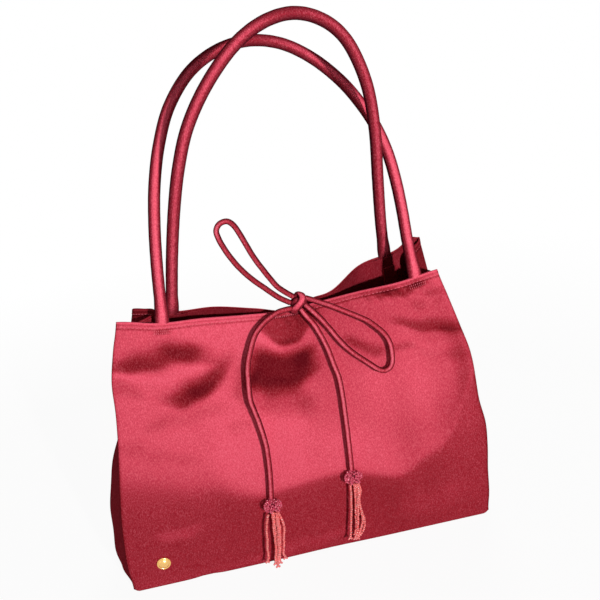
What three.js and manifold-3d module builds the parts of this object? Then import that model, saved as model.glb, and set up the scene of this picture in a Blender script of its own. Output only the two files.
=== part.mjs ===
// A satin shoulder bag whose mouth is tied at the middle by a corded bow with bead tassels.
// Millimetres. The origin is the middle of the flat bottom, X runs to the viewer's right as seen
// from the front, Y runs to the back and Z runs up.
import * as THREE from "three";
import { mergeVertices } from "three/addons/utils/BufferGeometryUtils.js";
import Module from "manifold-3d";

const wasm = await Module();
wasm.setup();

// Driving dimensions of the body
const baseWidth = 350;
const baseDepth = 90;
const bagHeight = 262;
const frontMouthWidth = 285;
const backMouthWidth = 281;
const backMouthShift = 13.5;

// Cloth and board
const satinThickness = 1.2;
const liningThickness = 0.8;
const boardThickness = 2.5;
const seamGap = 0.3;
const sewnEndThickness = 1.2;
const sewnEndClearance = 0.75;
const facingDepth = 58;
const cornerAllowance = 10;
const gussetInset = 2.8;
const cutOverrun = 2;

// How the soft body swells and sags
const sideSwell = 10;
const frontBelly = 8;
const backBelly = 7;
const creaseRounding = 3;
const gussetBulge = 12;
const leftFold = 25;
const rightFold = 17;

// Handles
const handleDiameter = 10.6;
const handleWall = 1.1;
const coreClearance = 0.4;
const frontHandleDrop = 223;
const backHandleDrop = 239;
const frontHandleLean = THREE.MathUtils.degToRad(21);
const backHandleLean = THREE.MathUtils.degToRad(-12);
const sewnEndLength = 34;
const sewnEndWidth = 15;

// Tie cord
const cordDiameter = 5;
const knotWidth = 12.6;
const knotDepth = 12;
const knotHeight = 12.6;
const knotLift = 6.6;
const knotForward = 3;

// Bead tassels
const tasselHeadWidth = 17;
const tasselHeadDepth = 10;
const tasselHeadHeight = 15;
const strandDiameter = 2.2;
const strandSpread = 15;
const leftStrandLength = 58;
const rightStrandLength = 61;
const gatherDiameter = 5;
const strandReach = 1.4;

// Round gilt stud at the lower left of the front
const studDiameter = 13;
const studRise = 3.4;
const studRim = 1;
const studShankDiameter = 2.6;
const studHoleDiameter = 3.4;
const studWasherDiameter = 9;
const studWasherThickness = 0.6;

// Folded satin tab sewn inside the mouth
const tabWidth = 12;
const tabLength = 24;
const tabThickness = 1;
const tabClearance = 0.5;

// Where things lie on their panel: across from -1 to 1, up from 0 to 1
const frontHandleShares = [-0.729, 0.853];
const backHandleShares = [-0.76, 0.678];
const studPlaceShares = [-0.812, 0.1];
const tabPlaceShares = [0.69, 0.96];
const tieShare = 0.107;

// Nine stations across each panel, from the left edge to the right one
const frontRimHeightShares = [1.015, 0.983, 0.969, 0.947, 0.93, 0.944, 0.96, 0.97, 0.992];
const frontRimDepthShares = [-0.78, -0.76, -0.71, -0.62, -0.54, -0.61, -0.7, -0.76, -0.78];
const backRimHeightShares = [1, 0.966, 0.958, 0.937, 0.922, 0.95, 0.985, 1, 1.004];
const backRimDepthShares = [0.02, -0.02, -0.05, -0.18, -0.17, -0.24, 0.36, 0.56, 1.16];
const frontCreaseShares = [0.48, 0.43, 0.37, 0.31, 0.3, 0.31, 0.34, 0.46, 0.57];
const backCreaseShares = [0.45, 0.4, 0.36, 0.32, 0.31, 0.32, 0.36, 0.42, 0.5];

// Eleven stations up each edge, from the bottom to the rim
const leftSwellShares = [0, 0.45, 0.66, 0.75, 0.72, 0.63, 0.56, 0.58, 0.73, 0.45, 0];
const rightSwellShares = [0, 0.45, 0.73, 1.1, 1.3, 1.08, 1.12, 1.16, 0.8, 0.4, 0];
const backSwellShares = [0, 0.4, 0.6, 0.7, 0.7, 0.6, 0.55, 0.5, 0.4, 0.2, 0];
const gussetBulgeShares = [0.8, 1, 1, 0.95, 0.8, 0.6, 0.35, 0.15, 0.05, 0, 0];
const gussetFoldShares = [0, 0, 0, 0, 0, 0.06, 0.18, 0.36, 0.58, 0.8, 1];

// Handle outlines: across as shares of half the span, up as shares of the drop
const frontHandleOutlineShares = [
  [-1, 0], [-0.965, 0.2], [-0.93, 0.35], [-0.876, 0.5], [-0.785, 0.655], [-0.655, 0.797],
  [-0.445, 0.919], [-0.195, 0.985], [0.045, 1], [0.27, 0.973], [0.485, 0.903], [0.688, 0.794],
  [0.815, 0.692], [0.904, 0.591], [0.958, 0.485], [0.984, 0.37], [0.993, 0.25], [0.992, 0.12], [1, 0],
];
const backHandleOutlineShares = [
  [-1, 0], [-0.92, 0.206], [-0.828, 0.401], [-0.737, 0.547], [-0.615, 0.684], [-0.431, 0.809],
  [-0.192, 0.918], [-0.016, 0.969], [0.152, 0.995], [0.315, 1], [0.475, 0.981], [0.632, 0.937],
  [0.749, 0.878], [0.84, 0.799], [0.923, 0.682], [0.965, 0.526], [0.973, 0.323], [0.983, 0.12], [1, 0],
];

// The strands of a tassel: place across, length and sideways bow, and where they leave the gather
const strandPlaceShares = [-0.5, -0.2, 0.06, 0.3, 0.5];
const strandLengthShares = [0.93, 0.98, 1, 0.97, 0.9];
const strandBowShares = [-0.05, 0.02, 0.03, 0.04, 0.12];
const strandRootShare = 0.15;

// Tie cord routes, chosen by hand, in millimetres
const frontStemRoute = [
  [12.4, -20.7, 220], [12.4, -19.8, 226], [12.4, -18.5, 232], [12.4, -17, 238], [12.4, -16.2, 243],
  [12.4, -18.4, 248], [12.5, -22.1, 249.8],
];
const backStemRoute = [
  [18.1, -8.8, 220], [18.1, -10.9, 226], [18.1, -13.2, 232], [18.1, -15.4, 238], [18.1, -16.6, 243],
  [18.1, -18.5, 247.9], [18, -22.1, 249.8],
];
const leftLoopRoute = [
  [11.5, -28.8, 257], [6.8, -29, 261], [-1.2, -30.5, 269.3], [-7.3, -31, 279.2], [-13, -32, 289.8],
  [-18.3, -33, 300.5], [-22.6, -34, 311], [-27.4, -34.7, 323.5], [-32, -35.4, 333], [-37, -36.1, 337.2],
  [-43.2, -36.8, 336.3], [-46.9, -37, 331], [-46, -37, 324], [-42.8, -36.2, 314.8],
  [-38, -35.5, 304.5], [-32, -34.5, 294], [-23.5, -33, 282.5], [-13, -31.5, 271], [-1.5, -30, 259.2],
  [8, -28.9, 251.9],
];
const rightLoopRoute = [
  [22.6, -29, 253.6], [32, -33.5, 250], [45.5, -38, 243.5], [54, -39.5, 238.5], [63, -41, 233],
  [73, -42.5, 226.5], [80.5, -43, 219], [87, -43.5, 211], [91, -44, 201], [91.8, -44.5, 191.5],
  [91.2, -45, 184], [88.8, -45, 178.6], [83.6, -45, 176.4], [78, -44.5, 178.6], [69, -42.5, 186.5],
  [60.5, -41.5, 194.5], [53.5, -40.5, 202], [46.5, -39, 211.5], [40, -37, 222.5], [33, -36, 233.5], [26.5, -34.2, 242],
  [21.3, -30.4, 247.8],
];
const leftTailRoute = [
  [9.4, -30.5, 246.7], [4, -32, 247.4], [-5, -32.5, 246.2], [-18, -35, 240], [-27.5, -38.5, 232],
  [-34, -42, 219.5], [-38.5, -44.5, 206.5], [-40.5, -46.5, 189.5], [-41, -48, 175], [-39.2, -48.5, 164.7],
  [-37, -49, 154.5], [-34.9, -49.9, 141.7], [-33.5, -51, 128.5], [-33.4, -52.4, 116.2], [-34, -54, 103],
  [-35.1, -55.7, 91], [-36.5, -57.5, 78],
];
const rightTailRoute = [
  [16.7, -30.5, 244.6], [20, -32.6, 238.6], [25.5, -34, 230], [31, -36.5, 217.5], [35, -39, 205],
  [36.6, -40, 198.3], [38, -41, 191.5], [41, -43, 179], [41.9, -44.7, 167.6], [42.2, -46.5, 155.5],
  [42.1, -48, 146], [42, -49.5, 136.5], [41.8, -51.5, 124.1], [41.5, -53.5, 111.5], [41.1, -55.2, 100.9],
  [40.7, -57, 89.5],
];

// Segment counts, and how close a grid line may come to the end of a span
const panelColumns = 16;
const panelRows = 10;
const gussetColumns = 10;
const smallSteps = 4;
const nearShare = 0.2;
const baseEndSteps = 8;
const handleSides = 10;
const handleSteps = 25;
const coreSides = 8;
const cordSides = 8;
const cordStepShare = 2.2;
const strandSides = 5;
const strandSteps = 5;
const roundSegments = 16;
const knotSegments = 12;

// Sizes that follow from the ones above
const halfDepth = baseDepth / 2;
const pocketDepth = sewnEndThickness + 2 * sewnEndClearance;
const facingInside = satinThickness + pocketDepth;
const facingShare = facingDepth / bagHeight;
const seamShare = seamGap / bagHeight;
const panelHalf = Math.min(frontMouthWidth, backMouthWidth) / 2;
const cornerShare = cornerAllowance / panelHalf;
const coreRadius = handleDiameter / 2 - handleWall - coreClearance;
const boardTop = satinThickness + seamGap + boardThickness;
const liningBottomShare = (boardTop + seamGap) / bagHeight;
const probeShare = 1e-3;
const weldDistance = 1e-3;

const colour = {
  satin: 0xb83048,
  satinInside: 0x8c2036,
  lining: 0x3a0f18,
  cord: 0xb02c44,
  board: 0x9a948a,
  filler: 0xe8e2d6,
  beadDark: 0x9a1c34,
  beadCoral: 0xf0604c,
  gilt: 0xf0c078,
};

// Linear blend from a to b
function mix(a, b, t) {
  return a + (b - a) * t;
}

// A smooth curve through evenly spaced table values, with t from 0 to 1
function along(table, t) {
  const last = table.length - 1;
  const place = THREE.MathUtils.clamp(t, 0, 1) * last;
  const i = Math.min(Math.floor(place), last - 1);
  const f = place - i;
  const before = table[Math.max(i - 1, 0)];
  const after = table[Math.min(i + 2, last)];
  const slopeStart = (table[i + 1] - before) / 2;
  const slopeEnd = (after - table[i]) / 2;
  const rise = table[i + 1] - table[i];
  return table[i] + f * (slopeStart + f * (3 * rise - 2 * slopeStart - slopeEnd
    + f * (slopeStart + slopeEnd - 2 * rise)));
}

// The larger of a and b, rounded where they meet
function roundedMax(a, b, rounding) {
  const half = (a - b) / 2;
  return (a + b) / 2 + Math.sqrt(half * half + rounding * rounding / 4);
}

// Depth of a side of the bag: it leans out up to the crease, then in to the rim
function sideDepth(foot, belly, rim, crease, v) {
  const lower = -foot - belly * v / crease;
  const upper = mix(-foot - belly, rim, (v - crease) / (1 - crease));
  const settled = Math.min(v, 1 - v) / (Math.min(v, 1 - v) + creaseRounding / bagHeight);
  return roundedMax(lower, upper, creaseRounding * settled);
}

function frontPoint(u, v) {
  const t = (u + 1) / 2;
  const left = -mix(baseWidth, frontMouthWidth, v) / 2 - sideSwell * along(leftSwellShares, v);
  const right = mix(baseWidth, frontMouthWidth, v) / 2 + sideSwell * along(rightSwellShares, v);
  const rim = halfDepth * along(frontRimDepthShares, t);
  const y = sideDepth(halfDepth, frontBelly, rim, along(frontCreaseShares, t), v);
  return new THREE.Vector3(mix(left, right, t), y, v * bagHeight * along(frontRimHeightShares, t));
}

function backPoint(u, v) {
  const t = (u + 1) / 2;
  const swell = sideSwell * along(backSwellShares, v);
  const half = mix(baseWidth, backMouthWidth, v) / 2 + swell;
  const rim = -halfDepth * along(backRimDepthShares, t);
  const y = -sideDepth(halfDepth, backBelly, rim, along(backCreaseShares, t), v);
  const x = mix(0, backMouthShift, v) + u * half;
  return new THREE.Vector3(x, y, v * bagHeight * along(backRimHeightShares, t));
}

// A gusset runs from the front panel's edge to the back panel's, bulges low and folds in high
function gussetPoint(side, fold, u, v) {
  const front = frontPoint(side, v);
  const back = backPoint(side, v);
  const run = new THREE.Vector3().subVectors(back, front);
  const length = run.length();
  run.normalize();
  const at = gussetInset + (u + 1) / 2 * (length - 2 * gussetInset);
  const middle = Math.cos(u * Math.PI / 2) ** 2;
  const push = gussetBulge * along(gussetBulgeShares, v) - fold * along(gussetFoldShares, v);
  front.addScaledVector(run, at).x += side * push * middle;
  return front;
}

// turn is 1 where across and up make an outward normal, and -1 where they make an inward one
const front = { point: frontPoint, turn: 1, columns: panelColumns };
const back = { point: backPoint, turn: -1, columns: panelColumns };
const leftGusset = { point: (u, v) => gussetPoint(-1, leftFold, u, v), turn: -1, columns: gussetColumns };
const rightGusset = { point: (u, v) => gussetPoint(1, rightFold, u, v), turn: 1, columns: gussetColumns };

// The outward normal of a surface
function outward(surface, u, v) {
  const across = new THREE.Vector3().subVectors(
    surface.point(Math.min(u + probeShare, 1), v), surface.point(Math.max(u - probeShare, -1), v));
  const up = new THREE.Vector3().subVectors(
    surface.point(u, Math.min(v + probeShare, 1)), surface.point(u, Math.max(v - probeShare, 0)));
  return across.cross(up).normalize().multiplyScalar(surface.turn);
}

// The point at a depth below a surface, measured inwards
function under(surface, u, v, depth) {
  return surface.point(u, v).addScaledVector(outward(surface, u, v), -depth);
}

// The lines of an even grid that lie between two values, with the values themselves at the ends
function gridLines([from, to], start, step) {
  const lines = [from];
  for (let i = 0; start + i * step < to - nearShare * step; i++) {
    if (start + i * step > from + nearShare * step) lines.push(start + i * step);
  }
  return [...lines, to];
}

// A closed cloth piece between two depths under a surface. All pieces on a surface share its grid.
function clothPiece(surface, acrossSpan, upSpan, depths) {
  const acrossLines = gridLines(acrossSpan, -1, 2 / surface.columns);
  const upLines = gridLines(upSpan, 0, 1 / panelRows);
  const columns = acrossLines.length - 1;
  const rows = upLines.length - 1;
  const positions = [];
  for (const depth of depths) {
    for (const v of upLines) {
      for (const u of acrossLines) positions.push(...under(surface, u, v, depth).toArray());
    }
  }
  const at = (layer, i, j) => layer * (columns + 1) * (rows + 1) + j * (columns + 1) + i;
  const index = [];
  const quad = (a, b, c, d) => {
    const corners = surface.turn > 0 ? [a, b, c, a, c, d] : [a, c, b, a, d, c];
    index.push(...corners);
  };
  for (let j = 0; j < rows; j++) {
    for (let i = 0; i < columns; i++) {
      quad(at(0, i, j), at(0, i + 1, j), at(0, i + 1, j + 1), at(0, i, j + 1));
      quad(at(1, i, j), at(1, i, j + 1), at(1, i + 1, j + 1), at(1, i + 1, j));
    }
  }
  for (let i = 0; i < columns; i++) {
    quad(at(0, i, 0), at(1, i, 0), at(1, i + 1, 0), at(0, i + 1, 0));
    quad(at(0, i, rows), at(0, i + 1, rows), at(1, i + 1, rows), at(1, i, rows));
  }
  for (let j = 0; j < rows; j++) {
    quad(at(0, 0, j), at(0, 0, j + 1), at(1, 0, j + 1), at(1, 0, j));
    quad(at(0, columns, j), at(1, columns, j), at(1, columns, j + 1), at(0, columns, j + 1));
  }
  const geometry = new THREE.BufferGeometry();
  geometry.setAttribute("position", new THREE.Float32BufferAttribute(positions, 3));
  geometry.setIndex(index);
  return geometry;
}

// Corner points of a regular polygon
function polygon(radius, sides) {
  return Array.from({ length: sides }, (_, i) => {
    const angle = 2 * Math.PI * i / sides;
    return new THREE.Vector2(radius * Math.cos(angle), radius * Math.sin(angle));
  });
}

// A solid or hollow tube along a curve
function tube(curve, radius, sides, steps, boreRadius = 0) {
  const section = new THREE.Shape(polygon(radius, sides));
  if (boreRadius > 0) section.holes.push(new THREE.Path(polygon(boreRadius, sides)));
  return new THREE.ExtrudeGeometry(section, { steps, extrudePath: curve, bevelEnabled: false });
}

function curveThrough(points) {
  return new THREE.CatmullRomCurve3(points.map((p) => new THREE.Vector3(...p)), false, "centripetal");
}

// A geometry, placed by a matrix, as a solid that can be cut and joined
function solidOf(geometry, matrix = new THREE.Matrix4()) {
  const bare = geometry.index ? geometry.toNonIndexed() : geometry.clone();
  bare.applyMatrix4(matrix);
  bare.deleteAttribute("normal");
  bare.deleteAttribute("uv");
  const merged = mergeVertices(bare, weldDistance);
  return new wasm.Manifold(new wasm.Mesh({
    numProp: 3,
    vertProperties: merged.attributes.position.array,
    triVerts: new Uint32Array(merged.index.array),
  }));
}

function geometryOf(solid) {
  const mesh = solid.getMesh();
  const geometry = new THREE.BufferGeometry();
  geometry.setAttribute("position", new THREE.Float32BufferAttribute(mesh.vertProperties, 3));
  geometry.setIndex(Array.from(mesh.triVerts));
  return geometry;
}

const bag = new THREE.Group();

function addPiece(name, geometry, hex, roughness = 0.45, metalness = 0) {
  const material = new THREE.MeshStandardMaterial({ color: hex, roughness, metalness });
  const mesh = new THREE.Mesh(geometry, material);
  mesh.name = name;
  bag.add(mesh);
  return mesh;
}

// The matrix of a small piece that sits on a surface: its Z looks along the outward normal
function seatOn(surface, u, v, depth) {
  const normal = outward(surface, u, v);
  const across = new THREE.Vector3(1, 0, 0).projectOnPlane(normal).normalize();
  const up = new THREE.Vector3().crossVectors(normal, across);
  const place = under(surface, u, v, depth);
  return new THREE.Matrix4().makeBasis(across, up, normal).setPosition(place);
}

// A flat outline that follows the bottom edge at an inset, straight at front and back
function bottomOutline(inset) {
  const frontY = -halfDepth + inset;
  const backY = halfDepth - inset;
  const points = [];
  for (const [gusset, side] of [[rightGusset, 1], [leftGusset, -1]]) {
    for (let i = 0; i <= baseEndSteps; i++) {
      const u = side * (2 * i / baseEndSteps - 1);
      const edge = gusset.point(u, 0);
      points.push(new THREE.Vector2(edge.x - side * inset, mix(frontY, backY, (u + 1) / 2)));
    }
  }
  return new THREE.Shape(points);
}

function flatSheet(inset, bottom, thickness) {
  const geometry = new THREE.ExtrudeGeometry(bottomOutline(inset), { depth: thickness, bevelEnabled: false });
  return geometry.translate(0, 0, bottom);
}

function addBottom() {
  const wallInset = satinThickness + gussetInset / 2;
  addPiece("base_panel", flatSheet(wallInset, 0, satinThickness), colour.satin);
  const boardInset = wallInset + seamGap;
  addPiece("base_board", flatSheet(boardInset, satinThickness + seamGap, boardThickness), colour.board, 0.9);
  const liningInset = facingInside + liningThickness + 2 * gussetInset;
  addPiece("lining_base", flatSheet(liningInset, boardTop + seamGap, liningThickness), colour.lining, 0.8);
}

// Turned stud: a low dome with a rim, and a shank through the cloth
function studProfile() {
  const shankLength = satinThickness + 2 * seamGap;
  const radius = studDiameter / 2;
  const shank = studShankDiameter / 2;
  const arc = Array.from({ length: smallSteps + 1 }, (_, i) => {
    const angle = Math.PI / 2 * i / smallSteps;
    return new THREE.Vector2(radius * Math.cos(angle), studRim + (studRise - studRim) * Math.sin(angle));
  });
  return [
    new THREE.Vector2(0, -shankLength), new THREE.Vector2(shank, -shankLength),
    new THREE.Vector2(shank, 0), new THREE.Vector2(radius, 0),
    ...arc.slice(0, -1), new THREE.Vector2(0, studRise),
  ];
}

function cylinderAlongZ(diameter, length) {
  const radius = diameter / 2;
  return new THREE.CylinderGeometry(radius, radius, length, roundSegments).rotateX(Math.PI / 2);
}

function addBody() {
  const whole = [-1, 1];
  const satin = [0, satinThickness];
  const facingBottom = 1 - facingShare;
  const facingSpan = [facingBottom, 1 - seamShare];
  const liningSpan = [liningBottomShare, facingBottom - seamShare];

  // A facing round the mouth and a lining below it, both at one depth
  const addInside = (name, surface, edgeShare, depth) => {
    const span = [-1 + edgeShare, 1 - edgeShare];
    const depths = [depth, depth + liningThickness];
    addPiece(`facing_${name}`, clothPiece(surface, span, facingSpan, depths), colour.satinInside);
    addPiece(`lining_${name}`, clothPiece(surface, span, liningSpan, depths), colour.lining, 0.8);
  };

  const hole = solidOf(cylinderAlongZ(studHoleDiameter, 2 * (satinThickness + cutOverrun)),
    seatOn(front, ...studPlaceShares, 0));
  const frontCloth = solidOf(clothPiece(front, whole, [0, 1], satin));
  addPiece("front_panel", geometryOf(frontCloth.subtract(hole)), colour.satin);
  addPiece("back_panel", clothPiece(back, whole, [0, 1], satin), colour.satin);
  addInside("front", front, cornerShare, facingInside);
  addInside("back", back, cornerShare, facingInside);
  for (const [name, surface] of [["left", leftGusset], ["right", rightGusset]]) {
    addPiece(`gusset_${name}`, clothPiece(surface, whole, [0, 1], satin), colour.satin);
    addInside(name, surface, 2 / surface.columns, satinThickness + 2 * seamGap);
  }
}

function addStud() {
  const seat = seatOn(front, ...studPlaceShares, -seamGap);
  const stud = new THREE.LatheGeometry(studProfile(), roundSegments).rotateX(Math.PI / 2);
  addPiece("stud", stud.applyMatrix4(seat), colour.gilt, 0.3, 1);
  const washerDepth = satinThickness + seamGap + studWasherThickness / 2;
  const washerSeat = seatOn(front, ...studPlaceShares, washerDepth);
  const disc = solidOf(cylinderAlongZ(studWasherDiameter, studWasherThickness), washerSeat);
  const bore = solidOf(cylinderAlongZ(studHoleDiameter, studWasherThickness + cutOverrun), washerSeat);
  addPiece("stud_washer", geometryOf(disc.subtract(bore)), colour.gilt, 0.4, 1);
}

// Where a handle leaves the hem: above the pocket that holds its sewn end
function handleFoot(surface, u) {
  const place = under(surface, u, 1, satinThickness + pocketDepth / 2);
  place.z = surface.point(u, 1).z + coreRadius + seamGap;
  return place;
}

function handleCurve(surface, shares, outline, drop, lean) {
  const [left, right] = shares.map((u) => handleFoot(surface, u));
  const middle = left.clone().add(right).multiplyScalar(0.5);
  const across = right.clone().sub(left).multiplyScalar(0.5);
  const axis = across.clone().normalize();
  const upright = new THREE.Vector3(0, 0, 1).projectOnPlane(axis).normalize();
  const up = upright.applyAxisAngle(axis, -lean).multiplyScalar(drop);
  const points = outline.map(([a, b]) => middle.clone().addScaledVector(across, a).addScaledVector(up, b));
  return new THREE.CatmullRomCurve3(points, false, "centripetal");
}

function ballAt(centre, radius) {
  return new THREE.SphereGeometry(radius, coreSides, smallSteps).translate(centre.x, centre.y, centre.z);
}

function addHandle(name, surface, shares, outline, drop, lean) {
  const curve = handleCurve(surface, shares, outline, drop, lean);
  const radius = handleDiameter / 2;
  const cover = tube(curve, radius, handleSides, handleSteps, radius - handleWall);
  addPiece(`handle_${name}_cover`, cover, colour.satin);
  const rod = solidOf(tube(curve, coreRadius, coreSides, handleSteps));
  const ends = [curve.points[0], curve.points.at(-1)].map((p) => solidOf(ballAt(p, coreRadius)));
  addPiece(`handle_${name}_core`, geometryOf(rod.add(ends[0]).add(ends[1])), colour.filler, 0.9);
  const half = sewnEndWidth / 2 / panelHalf;
  const outer = satinThickness + sewnEndClearance;
  shares.forEach((u, i) => {
    const end = clothPiece(surface, [u - half, u + half], [1 - sewnEndLength / bagHeight, 1],
      [outer, outer + sewnEndThickness]);
    addPiece(`handle_${name}_end_${["left", "right"][i]}`, end, colour.satin);
  });
}

// The knot sits on the rim where the front and back are drawn together
function knotCentre() {
  const rim = frontPoint(tieShare, 1);
  return new THREE.Vector3(rim.x, rim.y - knotForward, rim.z + knotLift);
}

function addTie() {
  const centre = knotCentre();
  const knot = new THREE.SphereGeometry(0.5, knotSegments, knotSegments);
  knot.scale(knotWidth, knotDepth, knotHeight).translate(centre.x, centre.y, centre.z);
  addPiece("tie_knot", knot, colour.cord);
  const cords = [
    ["tie_stem_front", frontStemRoute], ["tie_stem_back", backStemRoute],
    ["tie_loop_left", leftLoopRoute], ["tie_loop_right", rightLoopRoute],
    ["tie_tail_left", leftTailRoute], ["tie_tail_right", rightTailRoute],
  ];
  for (const [name, route] of cords) {
    const curve = curveThrough(route);
    const steps = Math.round(curve.getLength() / (cordStepShare * cordDiameter));
    addPiece(name, tube(curve, cordDiameter / 2, cordSides, steps), colour.cord);
  }
}

// A strand of beads that hangs from the gather in a slack curve, with places as shares of its length
function strandSolid(offset, length, bowShare) {
  const bow = bowShare * strandSpread;
  const route = [
    [strandRootShare * offset, 0, 0], [offset + bow, -strandReach, -length / 3],
    [offset + bow, 0, -2 * length / 3], [offset, strandReach, -length],
  ];
  return solidOf(tube(curveThrough(route), strandDiameter / 2, strandSides, strandSteps));
}

function addTassel(name, route, strandLength) {
  const end = new THREE.Vector3(...route.at(-1));
  const head = new THREE.IcosahedronGeometry(0.5, 1).scale(tasselHeadWidth, tasselHeadDepth, tasselHeadHeight);
  const headCentre = end.clone().add(new THREE.Vector3(0, 0, -seamGap - tasselHeadHeight / 2));
  addPiece(`tassel_${name}_head`, head.translate(...headCentre.toArray()), colour.beadDark);
  let strands = solidOf(new THREE.SphereGeometry(gatherDiameter / 2, cordSides, smallSteps));
  strandPlaceShares.forEach((share, i) => {
    const length = strandLength * strandLengthShares[i];
    strands = strands.add(strandSolid(share * strandSpread, length, strandBowShares[i]));
  });
  const drop = (tasselHeadHeight + gatherDiameter) / 2 + seamGap;
  const place = headCentre.clone().add(new THREE.Vector3(0, 0, -drop));
  addPiece(`tassel_${name}_strands`, geometryOf(strands).translate(...place.toArray()), colour.beadCoral, 0.3);
}

// A folded strip sewn to the back facing, seen inside the open side of the mouth
function addTab() {
  const half = tabWidth / 2 / panelHalf;
  const [u, v] = tabPlaceShares;
  const outer = facingInside + liningThickness + tabClearance;
  const strip = clothPiece(back, [u - half, u + half], [v - tabLength / bagHeight, v],
    [outer, outer + 2 * tabThickness]);
  addPiece("inner_tab", strip, colour.satin);
}

addBottom();
addBody();
addStud();
addHandle("front", front, frontHandleShares, frontHandleOutlineShares, frontHandleDrop, frontHandleLean);
addHandle("back", back, backHandleShares, backHandleOutlineShares, backHandleDrop, backHandleLean);
addTie();
addTassel("left", leftTailRoute, leftStrandLength);
addTassel("right", rightTailRoute, rightStrandLength);
addTab();

export default bag;
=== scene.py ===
"""The looks of a satin shoulder bag tied with a corded bow, in the same frame as its solids."""

import bpy
import numpy as np
from mathutils import Matrix


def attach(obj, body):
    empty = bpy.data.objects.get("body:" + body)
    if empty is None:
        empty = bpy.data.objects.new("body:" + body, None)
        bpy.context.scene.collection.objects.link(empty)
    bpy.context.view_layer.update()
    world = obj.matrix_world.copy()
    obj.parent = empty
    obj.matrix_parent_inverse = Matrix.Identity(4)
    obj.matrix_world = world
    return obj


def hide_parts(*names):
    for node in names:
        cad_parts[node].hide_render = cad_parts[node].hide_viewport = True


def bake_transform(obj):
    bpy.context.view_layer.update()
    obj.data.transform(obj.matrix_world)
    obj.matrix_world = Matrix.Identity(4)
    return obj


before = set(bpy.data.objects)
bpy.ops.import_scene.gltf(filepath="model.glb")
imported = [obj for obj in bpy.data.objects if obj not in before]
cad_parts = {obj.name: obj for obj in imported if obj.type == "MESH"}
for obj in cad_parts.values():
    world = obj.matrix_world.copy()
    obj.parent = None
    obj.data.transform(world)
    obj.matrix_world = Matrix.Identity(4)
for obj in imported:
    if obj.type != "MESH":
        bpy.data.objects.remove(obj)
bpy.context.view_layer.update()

MM = 0.001

# Driving dimensions, in millimetres and degrees, as in the part's source
BASE_WIDTH, BASE_DEPTH, BAG_HEIGHT = 350.0, 90.0, 262.0
FRONT_MOUTH_WIDTH, BACK_MOUTH_WIDTH, BACK_MOUTH_SHIFT = 285.0, 281.0, 13.5
SATIN, LINING, BOARD, SEAM_GAP = 1.2, 0.8, 2.5, 0.3
POCKET, FACING_DEPTH = 2.7, 58.0
FACING_INSIDE = SATIN + POCKET
SIDE_SWELL, FRONT_BELLY, BACK_BELLY = 10.0, 8.0, 7.0
GUSSET_BULGE, LEFT_FOLD, RIGHT_FOLD = 12.0, 25.0, 17.0
HANDLE_RADIUS, CORE_RADIUS = 5.3, 3.8
FRONT_DROP, BACK_DROP, FRONT_LEAN, BACK_LEAN = 223.0, 239.0, 21.0, -12.0
SEWN_END_LENGTH, SEWN_END_WIDTH = 34.0, 15.0
CORD_RADIUS = 2.5
TAB_WIDTH, TAB_HEIGHT = 12.0, 24.0
HEAD_HEIGHT, GATHER, LEFT_STRANDS, RIGHT_STRANDS = 15.0, 5.0, 58, 61

# Sizes of the looks alone: how sharply the sides fold, how a gusset meets the panels and how deep its facing
# lies
CREASE_ROUNDING, GUSSET_INSET, GUSSET_DIP, GUSSET_FACING_INSIDE = 1.3, 1.2, 6.0, 1.9
# The line of the hem's stitches, and how a handle's foot is sunk and pressed flat between the cloths
STITCH_LINE, HANDLE_SUNK, PRESSED_WIDTH, PRESSED_DEPTH, FOOT_RUN = 5.0, 12.0, 6.3, 0.9, 16.0
# Distances below and above a handle's foot; the points they give are worked out and not used.
TURN_BELOW, TURN_ABOVE = 1.5, 11.0
# The steps along a cord and a handle, and half the floor's size and its drop below the bag
CORD_STEP, HANDLE_STEP, FLOOR_REACH, FLOOR_DROP = 1.2, 1.5, 6000.0, 0.3
# The knot: half sizes of its core and of the turn of piping over it, and where they lie from its centre
KNOT_CORE, CORE_MOVED, KNOT_TURN, TURN_MOVED = (7.8, 4.6, 4.6), (1.0, 0, -0.8), (8.6, 5.0), (-0.6, 0, -1.4)
# Half sizes of the oval that a tassel's head beads sit on, and how many they are
HEAD_OVAL, HEAD_BEADS = (6.4, 3.6, 5.9), 64
# Radius and length of the beads of a head, of its loops, of the strands and of their tufts
HEAD_BEAD, LOOP_BEAD, STRAND_BEAD, TUFT_BEAD = (1.15, 1.6), (1.05, 1.5), (1.34, 1.9), (1.0, 1.4)
# Bead from bead as a share of its length, and half a bead's wall as a share of its radius
BEAD_SPACING, BEAD_WALL = 1.12, 0.47

# Shares at even steps: rims and fold lines across the panels, then swells, bulge and fold up the sides. The
# front's fold line and the back's rim are a closer reading than the source's.
FRONT_RIM_HEIGHT = [1.015, 0.983, 0.969, 0.947, 0.93, 0.944, 0.96, 0.97, 0.992]
FRONT_RIM_DEPTH = [-0.78, -0.76, -0.71, -0.62, -0.54, -0.61, -0.7, -0.76, -0.78]
BACK_RIM_HEIGHT = [1, 0.966, 0.958, 0.934, 0.9, 0.948, 0.985, 1, 1.004]
BACK_RIM_DEPTH = [0.02, -0.02, -0.05, -0.18, -0.17, -0.24, 0.36, 0.56, 1.16]
FRONT_CREASE = [0.462, 0.448, 0.427, 0.397, 0.387, 0.34, 0.316, 0.328, 0.34,
                0.346, 0.33, 0.298, 0.274, 0.325, 0.37, 0.48, 0.62]
BACK_CREASE = [0.45, 0.4, 0.36, 0.32, 0.31, 0.32, 0.36, 0.42, 0.5]
LEFT_SWELL = [0, 0.45, 0.66, 0.75, 0.72, 0.63, 0.56, 0.58, 0.73, 0.45, 0]
RIGHT_SWELL = [0, 0.45, 0.73, 1.1, 1.3, 1.08, 1.12, 1.16, 0.8, 0.4, 0]
BACK_SWELL = [0, 0.4, 0.6, 0.7, 0.7, 0.6, 0.55, 0.5, 0.4, 0.2, 0]
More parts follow.
